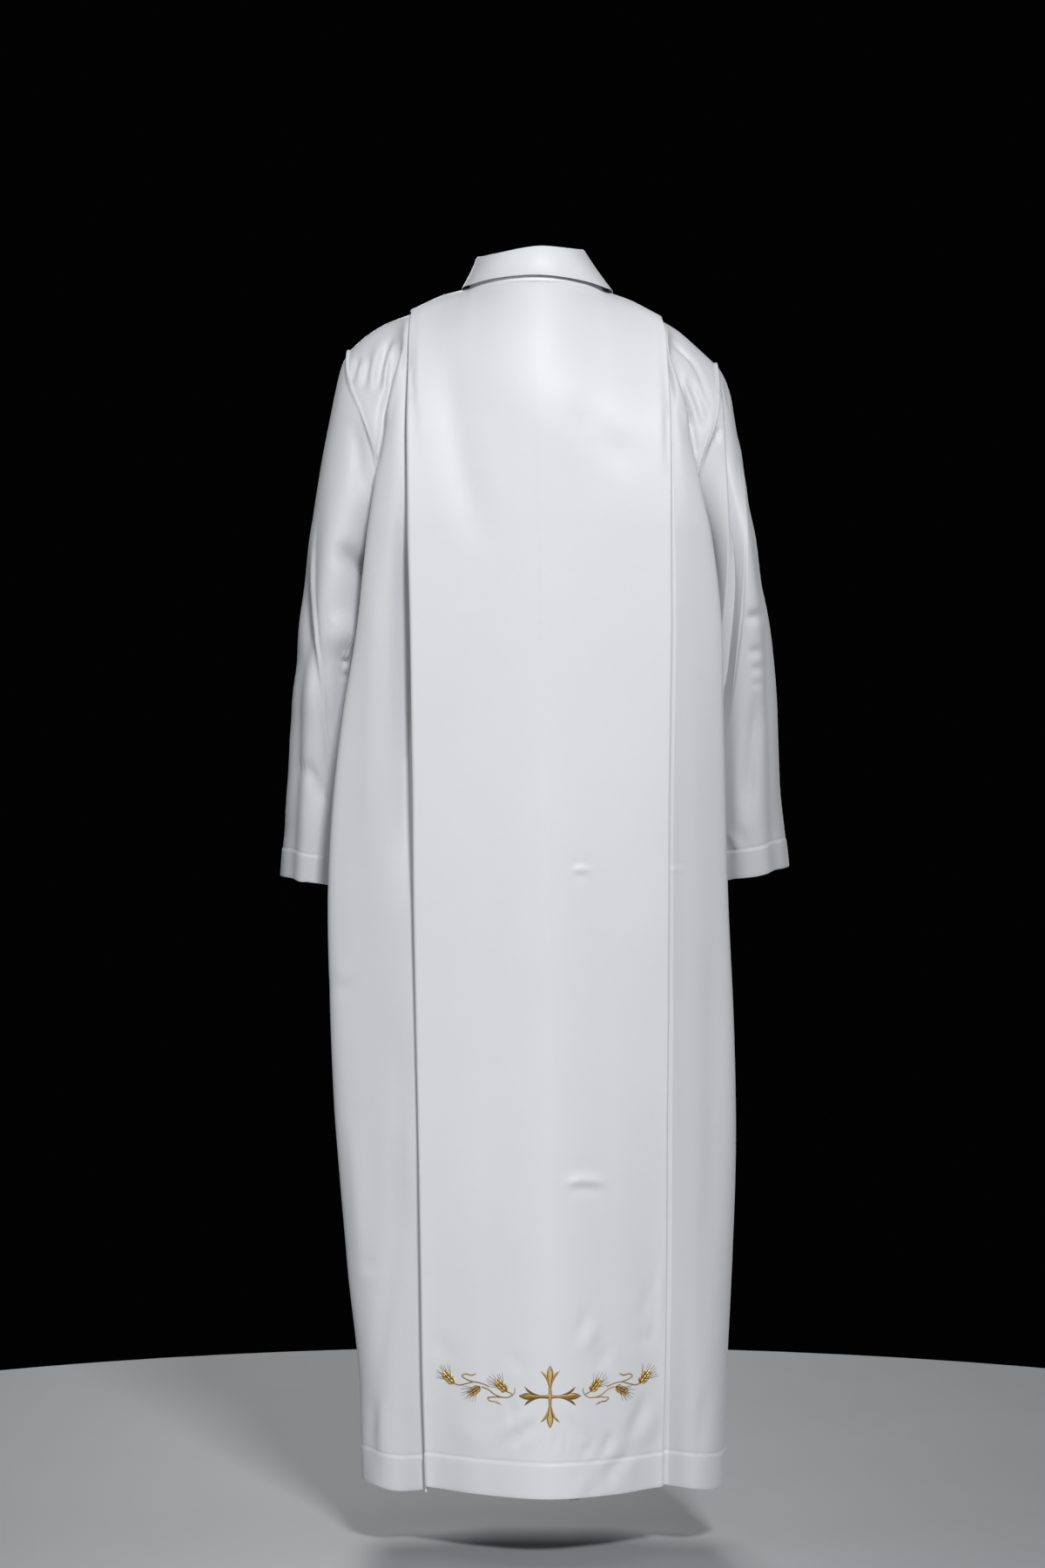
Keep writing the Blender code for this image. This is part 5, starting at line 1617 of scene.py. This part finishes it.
FLOOR_Z = -1.475
FLOOR_STEPS = 96
FLOOR_RINGS = ((1.50, 0.0), (1.52, -0.004), (1.525, -0.012), (1.525, -0.03))  # radius and height
FLOOR_PAINT, FLOOR_DARK, FLOOR_LIGHT = (0.34, 0.35, 0.365), (0.315, 0.325, 0.34), (0.355, 0.365, 0.38)
ROOM = (0.0007, 0.0007, 0.0009)
# Where each light stands, what it points to, its power in watts, and its width and height.
LIGHTS = {
    "key": ((-1.0, 5.2, 3.2), (0.02, 0.1, -0.5), 335, 0.85, 0.85),
    "low_fill": ((0.7, 4.8, 0.5), (0, 0, -0.9), 27, 1.6, 1.2),
    "rim_left": ((2.3, 1.2, -1.2), (0.25, 0, -0.6), 11, 0.7, 1.2),
    "rim_right": ((-2.6, 0.2, 0.7), (-0.1, 0, -0.4), 5, 0.7, 2.0),
    "far_fill": ((0.4, -4.4, 1.1), (0, 0, -0.6), 80, 1.6, 1.6),
}
CAMERA_PLACE = (0.0175, 4.45, -0.585)
CAMERA_LENS, CAMERA_SENSOR = 86.4, 36  # mm


def make_floor():
    """A round floor with a rounded edge, in a dark room."""
    angle = np.arange(FLOOR_STEPS) / FLOOR_STEPS * 2 * math.pi
    rim = list(zip(np.cos(angle), np.sin(angle)))
    vertices = [(x * radius, y * radius, FLOOR_Z + z) for radius, z in FLOOR_RINGS for x, y in rim]
    index = np.arange(len(vertices)).reshape(-1, FLOOR_STEPS)
    following = np.roll(index, -1, axis=1)
    sides = np.stack([index[:-1], index[1:], following[1:], following[:-1]], axis=-1).reshape(-1, 4)
    mesh = bpy.data.meshes.new("floor")
    mesh.from_pydata(vertices, [], [index[0].tolist(), index[-1][::-1].tolist()] + sides.tolist())
    material, tree, shader = new_material("floor_paint", FLOOR_PAINT, 0.6, specular=0.3)
    shade_by(tree, shader, noise(tree, object_place(tree), 3.0, 4.0), FLOOR_DARK, FLOOR_LIGHT)
    mesh.materials.append(material)
    new_object("floor", mesh)


make_floor()
for name, (place, target, power, width, height) in LIGHTS.items():
    light = bpy.data.lights.new(name, "AREA")
    light.shape = "RECTANGLE"
    light.size, light.size_y, light.energy = width, height, power
    lamp = new_object(name, light)
    lamp.location = place
    lamp.rotation_euler = (Vector(target) - Vector(place)).to_track_quat("-Z", "Y").to_euler()

world = bpy.data.worlds.new("studio")
world.use_nodes = True
world.node_tree.nodes["Background"].inputs[0].default_value = (*ROOM, 1)
bpy.context.scene.world = world
bpy.context.scene.view_settings.view_transform = "Standard"

camera_data = bpy.data.cameras.new("camera")
camera_data.sensor_fit = "VERTICAL"
camera_data.sensor_height = CAMERA_SENSOR
camera_data.lens = CAMERA_LENS
camera = new_object("camera", camera_data)
camera.location = CAMERA_PLACE
camera.rotation_euler = (math.pi / 2, 0, math.pi)
bpy.context.scene.camera = camera
